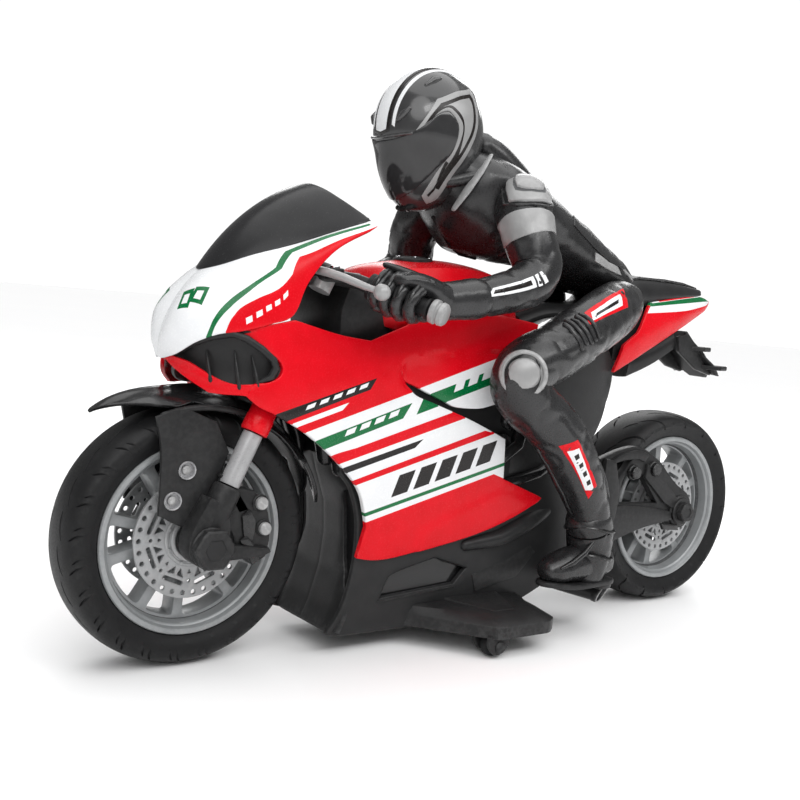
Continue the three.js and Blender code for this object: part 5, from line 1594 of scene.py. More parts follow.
def glove():
    """The left glove, closed round the grip: back of the hand, ribbed fingers, thumb and studs."""
    along = (GRIP_OUTER - GRIP_INNER).normalized()
    front = (Vector((1, 0, 0)) - along * along.x).normalized()
    top = front.cross(along)
    top = top if top.z > 0 else -top
    hand = Limb([(29, 27.9, 88.4, 4.2, 3.9), (33, 27.8, 89.2, 4.8, 3.8, 3.6),
        (37.5, 27.6, 91.2, 5.6, 3.0, 3.2), (41.5, 27.3, 92.4, 5.8, 2.2, 3.0),
        (44, 27.2, 92.4, 5.4, 1.6, 2.2)], 0.12, 4.0, 5.0)
    shape = Shape().join(hand.body("suit", 48, 0.7))
    for k in range(4):
        t = 1.7 + 2.95 * k
        axis = GRIP_INNER + along * t
        reach = (4.1, 4.5, 4.4, 3.9)[k]
        path, radii = [], []
        for step in range(17):
            a = math.radians(112 - 17 * step)
            r = reach + 0.35 * math.cos(a * 3)
            path.append(axis + front * (r * math.cos(a)) + top * (r * 0.92 * math.sin(a)))
            radii.append(1.52 - 0.02 * step + (0.12 if step % 3 else -0.1))
        shape.join(tube(path, radii, "suit", 18))
        # a raised rib down the middle of each finger and two studs on the knuckle
        ridge = [axis + front * ((reach + 1.3) * math.cos(math.radians(a))) + top * (
            (reach * 0.92 + 1.3) * math.sin(math.radians(a))) for a in (96, 80, 64, 48, 32, 16)]
        shape.join(tube(ridge, [0.45, 0.6, 0.62, 0.6, 0.55, 0.4], "gloss", 10))
        for a in (118, 134):
            d = front * math.cos(math.radians(a)) + top * math.sin(math.radians(a))
            shape.join(tube([axis + d * (reach + 1.2), axis + d * (reach + 1.9)], 0.55, "gloss", 12))
    guard = [GRIP_INNER + along * t - front * 1.6 + top * 5.6 for t in (0.4, 3.2, 6.4, 9.6, 12.2)]
    shape.join(tube(guard, [1.1, 1.5, 1.6, 1.5, 1.0], "gloss", 14, True, 0.7))
    thumb = [(34, 23.6, 87.4), (38, 21.6, 86.0), (42.5, 21.4, 85.6), (46.4, 23.2, 86.2)]
    shape.join(tube(thumb, [2.0, 1.9, 1.7, 1.4], "suit", 16))
    palm = [(32, 27.4, 87.2), (36, 27.2, 86.2), (39.5, 26.6, 85.8)]
    return shape.join(tube(palm, [3.4, 3.2, 2.6], "suit", 20))


def leg(name, side):
    whole = Limb([(-45, 14.4, 92, 5.4, 6), (-38, 17.6, 90, 7.2, 7.6), (-24, 22.6, 84.8, 7.6, 7.8),
        (-9, 26.4, 78.2, 7.4, 7.4), (1, 27.8, 74.2, 7.3, 7.6), (5, 28.2, 70, 7.2, 7.4),
        (1.2, 28.3, 65, 7.3, 7.1), (-9.6, 28, 57.2, 7.2, 7.2), (-19.4, 27, 46.6, 6.7, 6.8),
        (-27, 25.8, 35.5, 5.6, 6.0), (-29.5, 24.8, 24, 4.8, 5.4)], 0.40, 6.4, 7.0)
    shape = Shape().join(whole.body("suit", 64, 0.9))
    look = Vector((0.55, 0.83, 0.1))
    # thigh print: a white block between red edges
    u = 22
    a = aim(whole, u, Vector((0.5, 0.75, 0.35)))
    thigh = lambda rows: [(u + 1.35 * p, a + 1.5 * q, 1) for p, q in rows]
    red, white, dark = thigh([(-8, 10), (6.4, 16), (9, -2), (-5, -14)]), thigh([(-5.5, 6), (5.4, 10),
        (7.4, -1), (-3.4, -8)]), thigh([(-3.4, 1.5), (4.6, 4.5), (5.4, 1), (-2.6, -2.5)])
    shape.join(whole.patch(red, "red", [(white, "white"), (dark, "ink")], 0.12, 0.4, 1.2, 0.08))
    # shin print
    u = whole.length - 31.5
    a = aim(whole, u, look)
    shin = lambda rows: [(u + 1.25 * p, a + 1.5 * (q + 3), 1) for p, q in rows]
    blocks = [(shin([(-3.4 + 2.6 * k, -1), (-3.4 + 2.6 * k, -8), (-2.2 + 2.6 * k, -6.6),
        (-2.2 + 2.6 * k, -0.4)]), "ink") for k in range(4)]
    white = shin([(-5.4, 4), (-4.4, -12), (7.6, -8), (6.4, 5)])
    shape.join(whole.patch(shin([(-8, 9), (-6, -17), (7, -14), (9, 5)]), "red",
        [(white, "white")] + blocks, 0.12, 0.4, 1.2, 0.08))
    # stretch ribs above the knee and behind it
    for k in range(5):
        s = 32.5 + 1.9 * k
        b = aim(whole, s, Vector((0.1, 0.75, 0.65)))
        shape.join(tube([whole.at(s, b + c, 0.15) for c in range(-34, 35, 12)], 0.62, "suit", 10))
    # seam lines
    for turn in (70, -80):
        shape.join(tube([whole.at(s, aim(whole, s, look) + turn, 0.05)
            for s in range(int(whole.length) - 42, int(whole.length) - 12, 4)], 0.3, "suit", 8))
    # knee pad: two stepped rings round a raised cup
    base, direction = Vector((7.2, 31.9, 72.2)), Vector((0.6, 0.79, 0.12)).normalized()
    cup = [(5.9, -2.2), (6.1, 0.2), (5.9, 1.1), (5.3, 1.5), (4.9, 1.35), (4.6, 0.9), (4.2, 0.9),
        (4.0, 1.6), (3.6, 2.3), (2.4, 2.8), (1.0, 3.0), (0.2, 3.02)]
    pad = turned_on(cup, base, direction, "silver", 48)
    shape = shape if side > 0 else shape.mirrored()
    pad = pad if side > 0 else pad.mirrored()
    shape.join(boot() if side > 0 else boot().mirrored())
    shape.emit("leg_" + name, "frame", ["rider_leg_" + name], "rider_suit")
    pad.emit("knee_" + name, "frame", ["knee_pad_" + name], "silver_plastic")


def boot():
    """The left boot: calf cuff with two folds, foot, welt and heel."""
    shape = Shape()
    shape.join(Limb([(-27.4, 25.5, 33, 6.2, 6.4), (-28.8, 25.2, 29, 6.3, 6.5), (-29.6, 24.8, 24, 5.9, 6.2),
        (-29.6, 24.6, 20, 5.2, 5.9), (-29.2, 24.4, 17, 4.6, 5.6)], 0.2, 4.0, 4.0).body("suit", 56, 0.7))
    foot = Limb([(-36.4, 24.4, 20.0, 3.2, 4.2, 3.4), (-33, 24.4, 20.2, 4.2, 5.6, 4.6),
        (-28, 24.4, 20.2, 4.8, 6.0, 4.8), (-22, 24.6, 20.0, 5.0, 5.2, 4.2),
        (-17, 24.8, 19.6, 4.6, 4.0, 3.6), (-14.4, 24.8, 19.4, 3.4, 2.8, 2.8)], 0.16, 4.4, 6.0)
    shape.join(foot.body("suit", 52, 0.7))
    sole = curve([(-38.0, 21.6), (-38.0, 27.2), (-31, 28.9), (-21, 29.4), (-14, 28.0), (-11.8, 24.8),
        (-14, 21.6), (-21, 19.9), (-31, 20.2)], 1.2)
    shape.join(slab(sole, 0, 1.4, "black", [], 0.4, lambda u, v,
        w: Vector((u, v, 14.4 + w + 1.0 * smoothstep(-24, -12, u)))))
    shape.join(slab(curve([(-37.4, 21.8), (-37.4, 27), (-32, 27.8), (-32, 21.2)], 1.0), 0, 1.4, "black",
        [], 0.3, lambda u, v, w: Vector((u, v, 13.3 + w))))
    for z, r in ((30.6, 6.7), (23.0, 6.3)):
        loop = [Vector((-28.6 - (30 - z) * 0.1 + r * math.cos(a), 25.2 + r * 0.97 * math.sin(a),
            z + 0.8 * math.sin(a * 2))) for a in [math.tau * k / 36 for k in range(37)]]
        shape.join(tube(loop, 0.45, "gloss", 8))
    return shape.join(tube([(-26, 30.0, 28), (-22.6, 30.0, 24.8), (-19, 29.6, 22.4), (-16, 28.6, 20.8)],
        [0.5, 0.8, 0.8, 0.5], "gloss", 12))


# ---------------------------------------------------------------- handlebar
def handlebar():
    # the dark air box that fills the gap behind the steering head
    shape = slab(curve([(34, 76.5, 1), (48.2, 76.5, 1), (48.4, 84), (46.4, 90.4, 1), (38, 90.4, 1),
        (34, 86)], 1.6), -12, 12, "black", bevel=0.8)
    clamp = curve([(46, -15.5, 1), (46, 15.5, 1), (50, 16.4), (56, 15.2), (57.2, 9, 1), (55, 6, 1),
        (55, -6, 1), (57.2, -9, 1), (56, -15.2), (50, -16.4)], 1.6)
    shape.join(slab(clamp, 90.6, 93.2, "black", [circle(50, 0, 2.2, 24)], 0.5, lambda u, v,
        w: Vector((u, v, w))))
    for x, y in ((49.2, 0), (53.4, 4.6), (53.4, -4.6)):
        shape.join(bolt((x, y, 93.1), (0, 0, 1), 1.6, 1.2, "steel"))
    left = Shape()
    left.join(turned_on([(1.4, -6), (2.6, -6), (2.7, -0.4), (2.3, 0.2), (1.2, 0.3), (0.3, 0.3)],
        (53, FORK_Y, 94), STEER_UP, "silver", 36))
    left.join(tube([(51.6, 13, 91.8), (48.4, 17.6, 91.2), tuple(GRIP_INNER)], 1.8, "black", 20))
    along = (GRIP_OUTER - GRIP_INNER).normalized()
    left.join(turned_on([(1.0, -1.5), (3.1, -1.5), (3.1, 0.1), (2.1, 0.4), (2.1, 13.2), (2.5, 13.4),
        (2.5, 14.0), (1.0, 14.1)], GRIP_INNER, along, "rubber", 32))
    # lever pivot, blade and ball
    left.join(turned_on([(0.6, -1.4), (2.1, -1.4), (2.3, -1.1), (2.3, 1.2), (2.0, 1.5), (0.6, 1.5)],
        (54.2, 16.6, 92.4), (0, 0, 1), "black", 28))
    left.join(bolt((54.2, 16.6, 93.8), (0, 0, 1), 1.2, 0.6, "steel"))
    left.join(tube([(57.6, 13.4, 93.2), (56.8, 17.5, 92.8), (55.2, 22.5, 91.8), (52.6, 27.5, 90.2),
        (50.8, 30.6, 89.4)], [1.2, 1.25, 1.15, 1.0, 0.85], "silver", 20, True, 0.8))
    left.join(tube([(50.6, 30.9, 89.3), (50.5, 31.0, 89.27)], 1.9, "silver", 28))
    shape.join(left.both_sides())
    shape.emit("bars", "frame", ["handlebar"], "satin_black")
    cap = turned_on([(1.2, 0), (2.7, 0.0), (2.85, 0.3), (2.85, 1.2), (2.45, 1.5), (2.45, 1.9), (2.75, 2.2),
        (2.6, 3.1), (2.1, 3.6), (1.0, 3.75), (0.2, 3.78)], GRIP_OUTER + along * 0.3, along, "silver", 40)
    cap.emit("bar_end_cap_left", "frame", ["bar_end_left"], "silver_plastic")
    cap.mirrored().emit("bar_end_cap_right", "frame", ["bar_end_right"], "silver_plastic")


helmet()
torso()
for name, side in (("left", 1), ("right", -1)):
    arm(name, side)
    leg(name, side)
handlebar()


# ---------------------------------------------------------------- tank, seat and tail
def hull(stations, finish, step=1.4, per=4, bulge=0.25, finishes=None):
    """A body with crease lines. Stations are (x, half profile from the bottom middle to the top middle)."""
    rows = [[Vector((x, y, z)) for y, z in profile] for x, profile in stations]
    n = len(rows[0])
    dense = []
    for i in range(len(rows) - 1):
        before = rows[max(i - 1, 0)]
        after = rows[min(i + 2, len(rows) - 1)]
        count = max(1, round(abs(rows[i + 1][0].x - rows[i][0].x) / step))
        for k in range(count):
            dense.append([catmull(before[j], rows[i][j], rows[i + 1][j], after[j], k / count)
                for j in range(n)])
    dense.append(rows[-1])
    loops = []
    for row in dense:
        half = []
        for a, b in zip(row, row[1:]):
            d = (b - a).normalized()
            out = Vector((0, d.z, -d.y))
            half += [a.lerp(b, k / per) + out * (bulge * math.sin(math.pi * k / per)) for k in range(per)]
        half.append(row[-1])
        loops.append(half + [Vector((p.x, -p.y, p.z)) for p in half[-2:0:-1]])
    return rings(loops, finish, True, finishes)


def tank():
    rows = [
        (39.5, [(0, 84), (6.6, 84.4), (7.6, 87), (5, 90.2), (0, 91.4)]),
        (38, [(0, 82), (9.4, 82.4), (10.4, 86.4), (6.4, 92), (0, 93.2)]),
        (34, [(0, 80), (13.2, 80.6), (14.6, 87), (9.4, 94.6), (0, 96)]),
        (24, [(0, 79.7), (16.7, 80), (16.7, 87.6), (11, 96), (0, 97.8)]),
        (12, [(0, 79.7), (16.8, 80), (16.8, 87.8), (11.6, 96.8), (0, 98.6)]),
        (2, [(0, 79.7), (16, 80), (15.6, 87.6), (10.6, 96), (0, 97.8)]),
        (-5, [(0, 79.8), (13, 80.2), (12.4, 87), (7.8, 93.6), (0, 95)]),
        (-9, [(0, 80.4), (9.8, 81), (9, 86), (5.4, 90.6), (0, 91.6)]),
        (-10.6, [(0, 82.4), (6, 82.8), (5.4, 86), (3.2, 88.6), (0, 89.4)]),
    ]
    shape = hull(rows, "red")
    # filler cap with its ring of screws
    cap = [(5.2, 97.2), (5.2, 98.4), (4.9, 98.8), (4.2, 98.9), (3.9, 98.6), (3.5, 98.6), (3.2, 99.1),
        (1.6, 99.3), (0.2, 99.3)]
    shape.join(turned_on([(r, h - 97.2) for r, h in cap], (20, 0, 97.0), (0.05, 0, 1), "black", 40))
    for k in range(6):
        a = math.tau * k / 6
        shape.join(bolt((20 + 4.5 * math.cos(a), 4.5 * math.sin(a), 98.5), (0, 0, 1), 0.42, 0.4, "steel",
            False))
    shape.emit("tank_shell", "frame", ["fuel_tank_cover"], "gloss_red", 24)


def seat():
    rows = [
        (-11.6, [(0, 81), (7.4, 81.6), (8.6, 84), (6, 86), (0, 86.6)]),
        (-20, [(0, 85.6), (9.6, 85.8), (10.6, 87.2), (7.6, 88.8), (0, 89.2)]),
        (-34, [(0, 86), (10.6, 86.2), (11.6, 88), (8.4, 89.6), (0, 90)]),
        (-45, [(0, 86.8), (10.4, 87), (11, 89.4), (8, 91.4), (0, 91.6)]),
        (-50, [(0, 88.6), (9.2, 88.8), (10, 93.6), (7.6, 97.2), (0, 98)]),
        (-56, [(0, 90.4), (8.4, 90.6), (9.4, 95.6), (7.2, 98.9), (0, 99.8)]),
        (-68, [(0, 92.4), (7.6, 92.6), (8.4, 96.2), (6.4, 99.2), (0, 100)]),
        (-80, [(0, 94.4), (6.2, 94.6), (7, 96.6), (5.2, 98.8), (0, 99.5)]),
        (-89, [(0, 95.8), (4.2, 96), (4.8, 96.9), (3.6, 97.9), (0, 98.3)]),
        (-92, [(0, 96.4), (2, 96.5), (2.4, 96.9), (1.6, 97.3), (0, 97.4)]),
    ]
    shape = hull(rows, "black", 1.2, 5, 0.5)
    for s in (1, -1):
        edge = [(-51.5, s * 7.4, 97.9), (-58, s * 7.0, 99.5), (-70, s * 6.2, 99.7), (-80, s * 5.0, 99.2),
            (-88, s * 3.5, 98.2)]
        shape.join(tube([Vector(p) for p in edge], 0.4, "gloss", 8))
    # two grooves across the seat, in painted shade black
    for x in (-62, -74):
        shape.join(tube([Vector((x, y, 100.1 - abs(y) * 0.12 - (0.25 if x < -70 else 0)))
            for y in range(-6, 7, 2)], 0.3, "deep", 8))
    shape.emit("saddle", "frame", ["seat"], "satin_black", 28)


def tail_side(x, z):
    """The outside of the tail cowl's left panel."""
    half, low, high = table([(-97, 2.2, 92, 95), (-92, 4.6, 90.6, 95.6), (-80, 7.6, 86.4, 94.2),
        (-66, 9.6, 80, 92), (-56, 10.8, 75, 89), (-44, 11.6, 70, 86)], x)
    t = (z - low) / max(high - low, 0.1)
    return Vector((x, half * (1 + 0.10 * math.sin(math.pi * min(max(t, 0), 1))) - 1.2 * max(t - 0.75, 0),
        z))


def tail():
    inner = [
        (-47, [(0, 74), (9.6, 74.6), (9.8, 80), (8.6, 84.6), (0, 85)]),
        (-58, [(0, 76.6), (9.2, 77.4), (9.2, 83), (8, 88.6), (0, 89.4)]),
        (-68, [(0, 81.4), (8.2, 82), (8.2, 87), (6.8, 91.4), (0, 92)]),
        (-80, [(0, 86.8), (6.6, 87.4), (6.8, 90.4), (5.6, 93.6), (0, 94.2)]),
        (-92, [(0, 91.4), (4, 91.8), (4.2, 93.2), (3.2, 95), (0, 95.4)]),
        (-96.4, [(0, 92.8), (1.8, 93), (2, 93.6), (1.4, 94.4), (0, 94.6)]),
    ]
    shape = hull(inner, "black", 1.6, 4, 0.2)
    edge = curve([(-46.6, 71.8, 1), (-49, 79.5, 1), (-55, 83.4, 1), (-61.5, 92.4, 1), (-74, 94.3),
        (-88, 95.6), (-97, 94.6, 1), (-92, 91.6), (-80, 86.6), (-66, 80.6), (-56, 76.2)], 1.6)
    prints = [
        (curve([(-62, 92.6, 1), (-88, 95.7), (-96.6, 94.5, 1), (-92, 93.2), (-78, 91), (-59.6, 89.4, 1)],
        1.6), "white"),
        (curve([(-61.4, 92.4, 1), (-88, 95.6), (-96.4, 94.6, 1), (-92, 94.5), (-78, 93.2),
        (-60.8, 91.4, 1)], 1.6), "green"),
    ]
    n = numeric_normal(tail_side, -70, 88)
    side = skin(edge, tail_side, "red", prints, (), 1.8, 1.1, 0.25, 1 if n.y > 0 else -1)
    shape.join(side.both_sides())
    # tail lamp between the panels
    shape.join(slab(curve([(-4.6, 88.4, 1), (4.6, 88.4, 1), (3.4, 91.6, 1), (-3.4, 91.6, 1)], 0.8), 0, 1.4,
        "smoke", [], 0.4, lambda u, v, w: Vector((-85.5 - (v - 88.4) * 1.5 - w, u, v))))
    shape.emit("tail_shell", "frame", ["tail_cowl"], "gloss_red")


def plate_holder():
    shape = Shape()
    beam = [(-60, [(0, 69.6), (4, 70), (4.6, 74), (3.4, 76.6), (0, 76.8)]),
        (-70, [(0, 73.6), (4.6, 74), (5, 77.4), (3.8, 79.8), (0, 80)]),
        (-79, [(0, 78.6), (5, 79), (5.2, 82), (4, 84.4), (0, 84.8)])]
    shape.join(hull(beam, "black", 1.4, 3, 0.1))
    outline = curve([(-6, 84.8, 1), (6, 84.8, 1), (6.6, 79, 1), (9.4, 74.6, 1), (8.6, 71.4, 1),
        (4.6, 71.8, 1), (3, 70.4, 1), (-3, 70.4, 1), (-4.6, 71.8, 1), (-8.6, 71.4, 1), (-9.4, 74.6, 1),
        (-6.6, 79, 1)], 1.4)
    lean = lambda u, v, w: Vector((-82 - (84.8 - v) * 1.08 - w, u, v))
    shape.join(slab(outline, 0, 1.6, "black", [], 0.35, lean))
    shape.join(slab(curve([(-4.4, 82, 1), (4.4, 82, 1), (5, 75, 1), (-5, 75, 1)], 1.2), 1.5, 2.3, "gloss",
        [], 0.3, lean))
    for y in (-3, 3):
        shape.join(bolt(lean(y, 83.3, 1.5), (-0.68, 0, -0.73), 0.8, 0.6, "steel"))
    left = Shape()
    for z, reach in ((79.6, 9.4), (74.0, 11.6)):
        x = -82 - (84.8 - z) * 1.08
        left.join(slab(curve([(x + 3, 5.4, 1), (x - 1, reach, 1), (x - 4.6, reach - 0.6, 1),
            (x - 3.4, 5.6, 1)], 1.2), z - 0.7, z + 0.7, "black", [], 0.3, lambda u, v,
            w: Vector((u, v, w))))
    left.join(slab(curve([(-79, 83, 1), (-83, 84, 1), (-92, 78.4, 1), (-97.6, 73.2, 1), (-96, 71.4, 1),
        (-89, 73, 1), (-80, 78.4, 1)], 1.4), 5.2, 6.6, "black", [], 0.3))
    shape.join(left.both_sides())
    shape.emit("plate_bracket", "frame", ["plate_holder"], "satin_black")


# ---------------------------------------------------------------- nose intake and fork crown
INTAKE_PLAN = [(68.0, 17.7), (70.6, 16.9), (74.0, 15.7), (77.5, 13.8), (81.0, 11.0), (84.4, 7.2),
    (86.8, 2.8), (87.6, 0.0), (87.6, -1.0)]


def intake_wall(u, z, inset=0.0):
    """A point of the upright curved wall round the nose, u steps along its plan, moved inwards by inset."""
    u = min(max(u + 1, 0.0), len(INTAKE_PLAN) - 1.001)
    i = int(u)
    row = [Vector(INTAKE_PLAN[min(max(k, 0), len(INTAKE_PLAN) - 1)]) for k in (i - 1, i, i + 1, i + 2)]
    p = catmull(*row, u - i)
    ahead = (catmull(*row, min(u - i + 0.05, 1)) - catmull(*row, max(u - i - 0.05, 0))).normalized()
    p = p + Vector((ahead.y, -ahead.x)) * inset
    return Vector((p.x, p.y, z))


def intake_panel():
    """The black mouths on both sides of the nose, with fins, a black brow and a red lip."""
    n = numeric_normal(intake_wall, 2, 68)
    out = 1 if n.y > 0 else -1
    back = lambda u, v: intake_wall(u, v, 1.0 + 1.8 * math.sin(math.pi * min(max((v - 63) / 15, 0), 1)))
    mouth = curve([(-0.9, 64.6, 1), (1, 64.2), (3, 65.2), (5, 69), (6, 70.2, 1), (6, 72.4, 1), (5, 73),
        (3, 77.2), (1.4, 78.4), (-0.9, 76, 1)], 0.6)
    left = skin(mouth, back, "black", (), (), 0.9, 0.8, 0.2, out)
    for u, low, high in ((0.4, 66.4, 72.6), (1.5, 65.9, 73.4), (3.0, 67.0, 73.0)):
        fin = [intake_wall(u + 0.1 * k, lerp(low, high, k / 4), lerp(0.3, 2.2, (k / 4) ** 1.4))
            for k in range(5)]
        left.join(tube(fin, [0.75, 0.7, 0.6, 0.45, 0.25], "black", 12, True, 0.6))
    brow = [(5.6, 71.4), (4.9, 72.2), (4.0, 74.6), (3.0, 76.6), (2.0, 77.5), (1.2, 76.6), (0.2, 74.4),
        (-0.6, 72.4), (-0.9, 70.6), (-0.5, 68.4), (0.4, 67.0)]
    left.join(tube([intake_wall(u, z, 0.5) for u, z in brow], [0.4] + [0.85] * 9 + [0.4], "black", 14))
    lip = curve([(0.15, 61.9, 1), (0.55, 66.6, 1), (1.6, 66.2), (2.7, 67.3), (4.1, 70.4), (5.0, 71.3, 1),
        (5.9, 71.0, 1), (5.2, 69.9), (4.2, 67.2), (3.0, 64.2, 1), (1.0, 64.0)], 0.4)
    left.join(skin(lip, intake_wall, "red", (), (), 0.8, 1.0, 0.25, out))
    left.both_sides().emit("nose_intakes", "frame", ["intake_panel"], "satin_black")


def fork_crown():
    """The lower yoke: a waisted plate with a clamp and two screws at each leg, and the stem."""
    plate = curve([(-4.5, 0), (-3, 6), (-0.6, 11), (-0.4, 16.4), (3, 17.2), (6.6, 16.4), (7.2, 12),
        (5.6, 7), (5.2, 0), (5.6, -7), (7.2, -12), (6.6, -16.4), (3, -17.2), (-0.4, -16.4), (-0.6, -11),
        (-3, -6)], 1.2)
    place = lambda u, v, w: on_steer(u, v, w)
    shape = slab(plate, -1.6, 2.4, "black", [], 0.5, place)
    for s in (1, -1):
        shape.join(turned_on([(2.9, -2.6), (4.3, -2.6), (4.5, -2.2), (4.5, 2.8), (4.2, 3.2), (2.9, 3.2)],
            on_steer(3, s * FORK_Y, 0), STEER_UP, "black", 36))
        for w in (-0.9, 1.7):
            shape.join(bolt(on_steer(6.8, s * FORK_Y, w), STEER_AHEAD, 0.8, 0.9, "steel"))
    shape.join(turned_on([(1.6, -4), (3.4, -4), (3.6, -3.6), (3.6, 3.2), (2.8, 3.8), (2.0, 8.4),
        (0.4, 8.4)], on_steer(0, 0, 0), STEER_UP, "black", 36))
    return shape


# ---------------------------------------------------------------- swingarms and rear axle
def swingarm():
    place = lambda u, v, w: Vector((u, w, v))
    outline = curve([(-44, 46.6, 1), (-53.4, 49.4), (-59.4, 50.0), (-64, 48.6), (-69.8, 45.4, 1),
        (-78.1, 38.4), (-84.6, 34.4), (-86.4, 29.4), (-84, 24.6), (-79, 24.2, 1), (-74, 26.6, 1),
        (-62.2, 24.6), (-44, 19.6, 1)], 1.2)
    window = curve([(-62.2, 41.6, 1), (-70.2, 32.6, 1), (-60, 32.9), (-53.6, 33.2, 1), (-54.2, 39.6),
        (-57, 42.8, 1)], 1.0)
    arch = curve([(-47, 44.2, 1), (-53, 45.6), (-57, 46.0, 1), (-55, 43.4, 1), (-52, 40.5, 1),
        (-47.4, 40.0, 1)], 1.0)
    shape = slab(outline, 9.8, 12.4, "black", [window, arch], 0.4, place)
    # raised lower web and the diagonal brace over it
    web = curve([(-46, 40, 1), (-49, 32.4, 1), (-56, 32.6), (-66, 31.6), (-76.6, 29.6, 1), (-79, 27.4, 1),
        (-62, 24.9), (-46, 20.4, 1)], 1.4)
    shape.join(slab(web, 12.0, 13.2, "black", [], 0.35, place))
    brace = curve([(-63.4, 44.8, 1), (-68.6, 42.2, 1), (-81.6, 31.2, 1), (-78, 30.2, 1), (-72.6, 32.6, 1),
        (-62.6, 40.8, 1)], 1.2)
    shape.join(slab(brace, 12.2, 13.5, "black", [], 0.35, place))
    shape.join(slab(curve([(-46, 45.4, 1), (-53.4, 48.4), (-59.2, 49.0), (-63.6, 47.6, 1), (-62, 45.4, 1),
        (-58.6, 46.4), (-53, 46.2), (-46, 44.4, 1)], 1.0), 12.2, 13.4, "black", [], 0.3, place))
    for x, z in ((-57.8, 42.4), (-66.6, 43.2)):
        shape.join(turned_on([(2.3, 0), (2.3, 0.8), (2.1, 1.1), (1.95, 1.1), (1.85, 1.9), (1.6, 2.2),
            (0.3, 2.25)], (x, 12.4, z), (0, 1, 0), "gloss", 32))
    shape.join(turned_on([(2.5, -0.4), (4.6, -0.4), (4.8, 0.0), (4.8, 0.7), (4.4, 1.0), (2.5, 1.0)],
        (REAR_AXLE.x, 12.2, REAR_AXLE.z), (0, 1, 0), "black", 40))
    # calf guard in front of the arm and the chain adjuster under its end
    guard = curve([(-44.4, 47, 1), (-48.6, 46.2, 1), (-50.8, 38), (-50.4, 30), (-46.2, 22.4, 1),
        (-43.6, 22.4, 1)], 1.2)
    shape.join(slab(guard, 12.6, 14.4, "black", [], 0.4, place))
    shape.join(slab(curve([(-72, 26.4, 1), (-79.6, 25.6, 1), (-80.6, 23.6, 1), (-73.4, 24.2, 1)], 1.0),
        12.2, 13.4, "gloss", [], 0.3, place))
    shape.emit("arm_plate_left", "frame", ["swingarm_left"], "satin_black")


def gear_case():
    place = lambda u, v, w: Vector((u, -w, v))
    case = curve([(-42, 44, 1), (-52, 42.4), (-66, 40.6), (-78, 40.2), (-87.6, 36.4), (-91.4, 29.6),
        (-87.6, 22.4), (-78, 19.6), (-62, 18.8), (-42, 17.4, 1)], 1.4)
    shape = slab(case, 9.8, 13.3, "black", [], 0.4, place)
    lid = curve([(-44, 42, 1), (-52, 40.6), (-66, 38.9), (-78, 38.4), (-86.2, 35.2), (-89.4, 29.6),
        (-86, 23.8), (-78, 21.4), (-62, 20.4), (-44, 19.4, 1)], 1.4)
    cover = slab(lid, 13.4, 15.0, "black", [], 0.45, place)
    cover.join(slab(curve([(-47, 38.6, 1), (-64, 36.4, 1), (-70, 31, 1), (-64, 25.2, 1), (-47, 23, 1)],
        1.4), 14.9, 15.6, "gloss", [], 0.3, place))
    cover.join(turned_on([(6.2, 0), (6.2, 0.5), (5.9, 0.8), (5.2, 0.8), (4.9, 0.5), (4.3, 0.5), (4.1, 1.2),
        (3.8, 1.5), (0.3, 1.55)], (REAR_AXLE.x, -14.9, REAR_AXLE.z), (0, -1, 0), "black", 44))
    for x, z in ((-46.4, 40), (-46.4, 21.4), (-66, 37.6), (-66, 21.8), (-85.4, 34), (-85.4, 25.2)):
        cover.join(bolt((x, -14.9, z), (0, -1, 0), 0.95, 0.7, "steel"))
    shape.emit("gear_case", "frame", ["swingarm_right"], "satin_black")
    cover.emit("gear_lid", "frame", ["gear_cover"], "satin_black")


def rear_axle():
    shape = turned_on([(0.3, -13.4), (2, -13.4), (2, 12.9), (0.3, 12.9)], (REAR_AXLE.x, 0, REAR_AXLE.z),
        (0, 1, 0), "steel", 28)
    shape.join(turned_on([(2.0, 12.8), (3.9, 12.8), (4.1, 13.1), (4.1, 13.7), (3.8, 14.0), (2.0, 14.0)],
        (REAR_AXLE.x, 0, REAR_AXLE.z), (0, 1, 0), "black", 36))
    shape.join(hexagon((REAR_AXLE.x, 13.9, REAR_AXLE.z), (0, 1, 0), 2.7, 2.2, "black", 0.3))
    shape.emit("rear_spindle", "rear_wheel", ["rear_axle"], "steel")


# ---------------------------------------------------------------- under the belly
def exhausts():
    """The oval outlet of each exhaust, low behind the belly, with its pale rim and a bore in painted shade
    black.
    """
    base, along = Vector((-35.6, 18.6, 11.2)), Vector((-0.55, 0.80, -0.24)).normalized()
    flatten = Matrix.Translation(base) @ Matrix.Diagonal((1.35, 1, 0.72, 1)) @ Matrix.Translation(-base)
    profile = [(2.4, -7), (3.5, -7), (3.6, 0), (3.6, 3.2), (3.9, 3.8), (4.0, 4.5), (3.8, 4.8), (3.4, 4.8),
        (3.2, 4.2), (3.0, 2), (2.7, 0), (0.3, -0.2)]
    left = turned_on(profile, base, along, "black", 48)
    # the bore is painted shade black
    left.join(turned_on([(3.22, 4.2), (2.95, 2), (2.65, 0.1), (0.3, 0.0)], base, along, "deep", 48))
    u, v, w = basis(along)
    lip = [base + w * 4.8 + (u * math.cos(math.tau * k / 48) + v * math.sin(math.tau * k / 48)) * 3.6
        for k in range(49)]
    left.join(tube(lip, 0.2, "silver", 8))
    left = left.turned(flatten)
    left.join(tube([(-24, 14, 16), (-30, 15.6, 13.8), (-34.6, 17.6, 11.9)], [3.4, 3.4, 3.0], "black", 28,
        True, 0.8))
    left.emit("tailpipe_left", "frame", ["exhaust_outlet_left"], "satin_black")
    left.mirrored().emit("tailpipe_right", "frame", ["exhaust_outlet_right"], "satin_black")


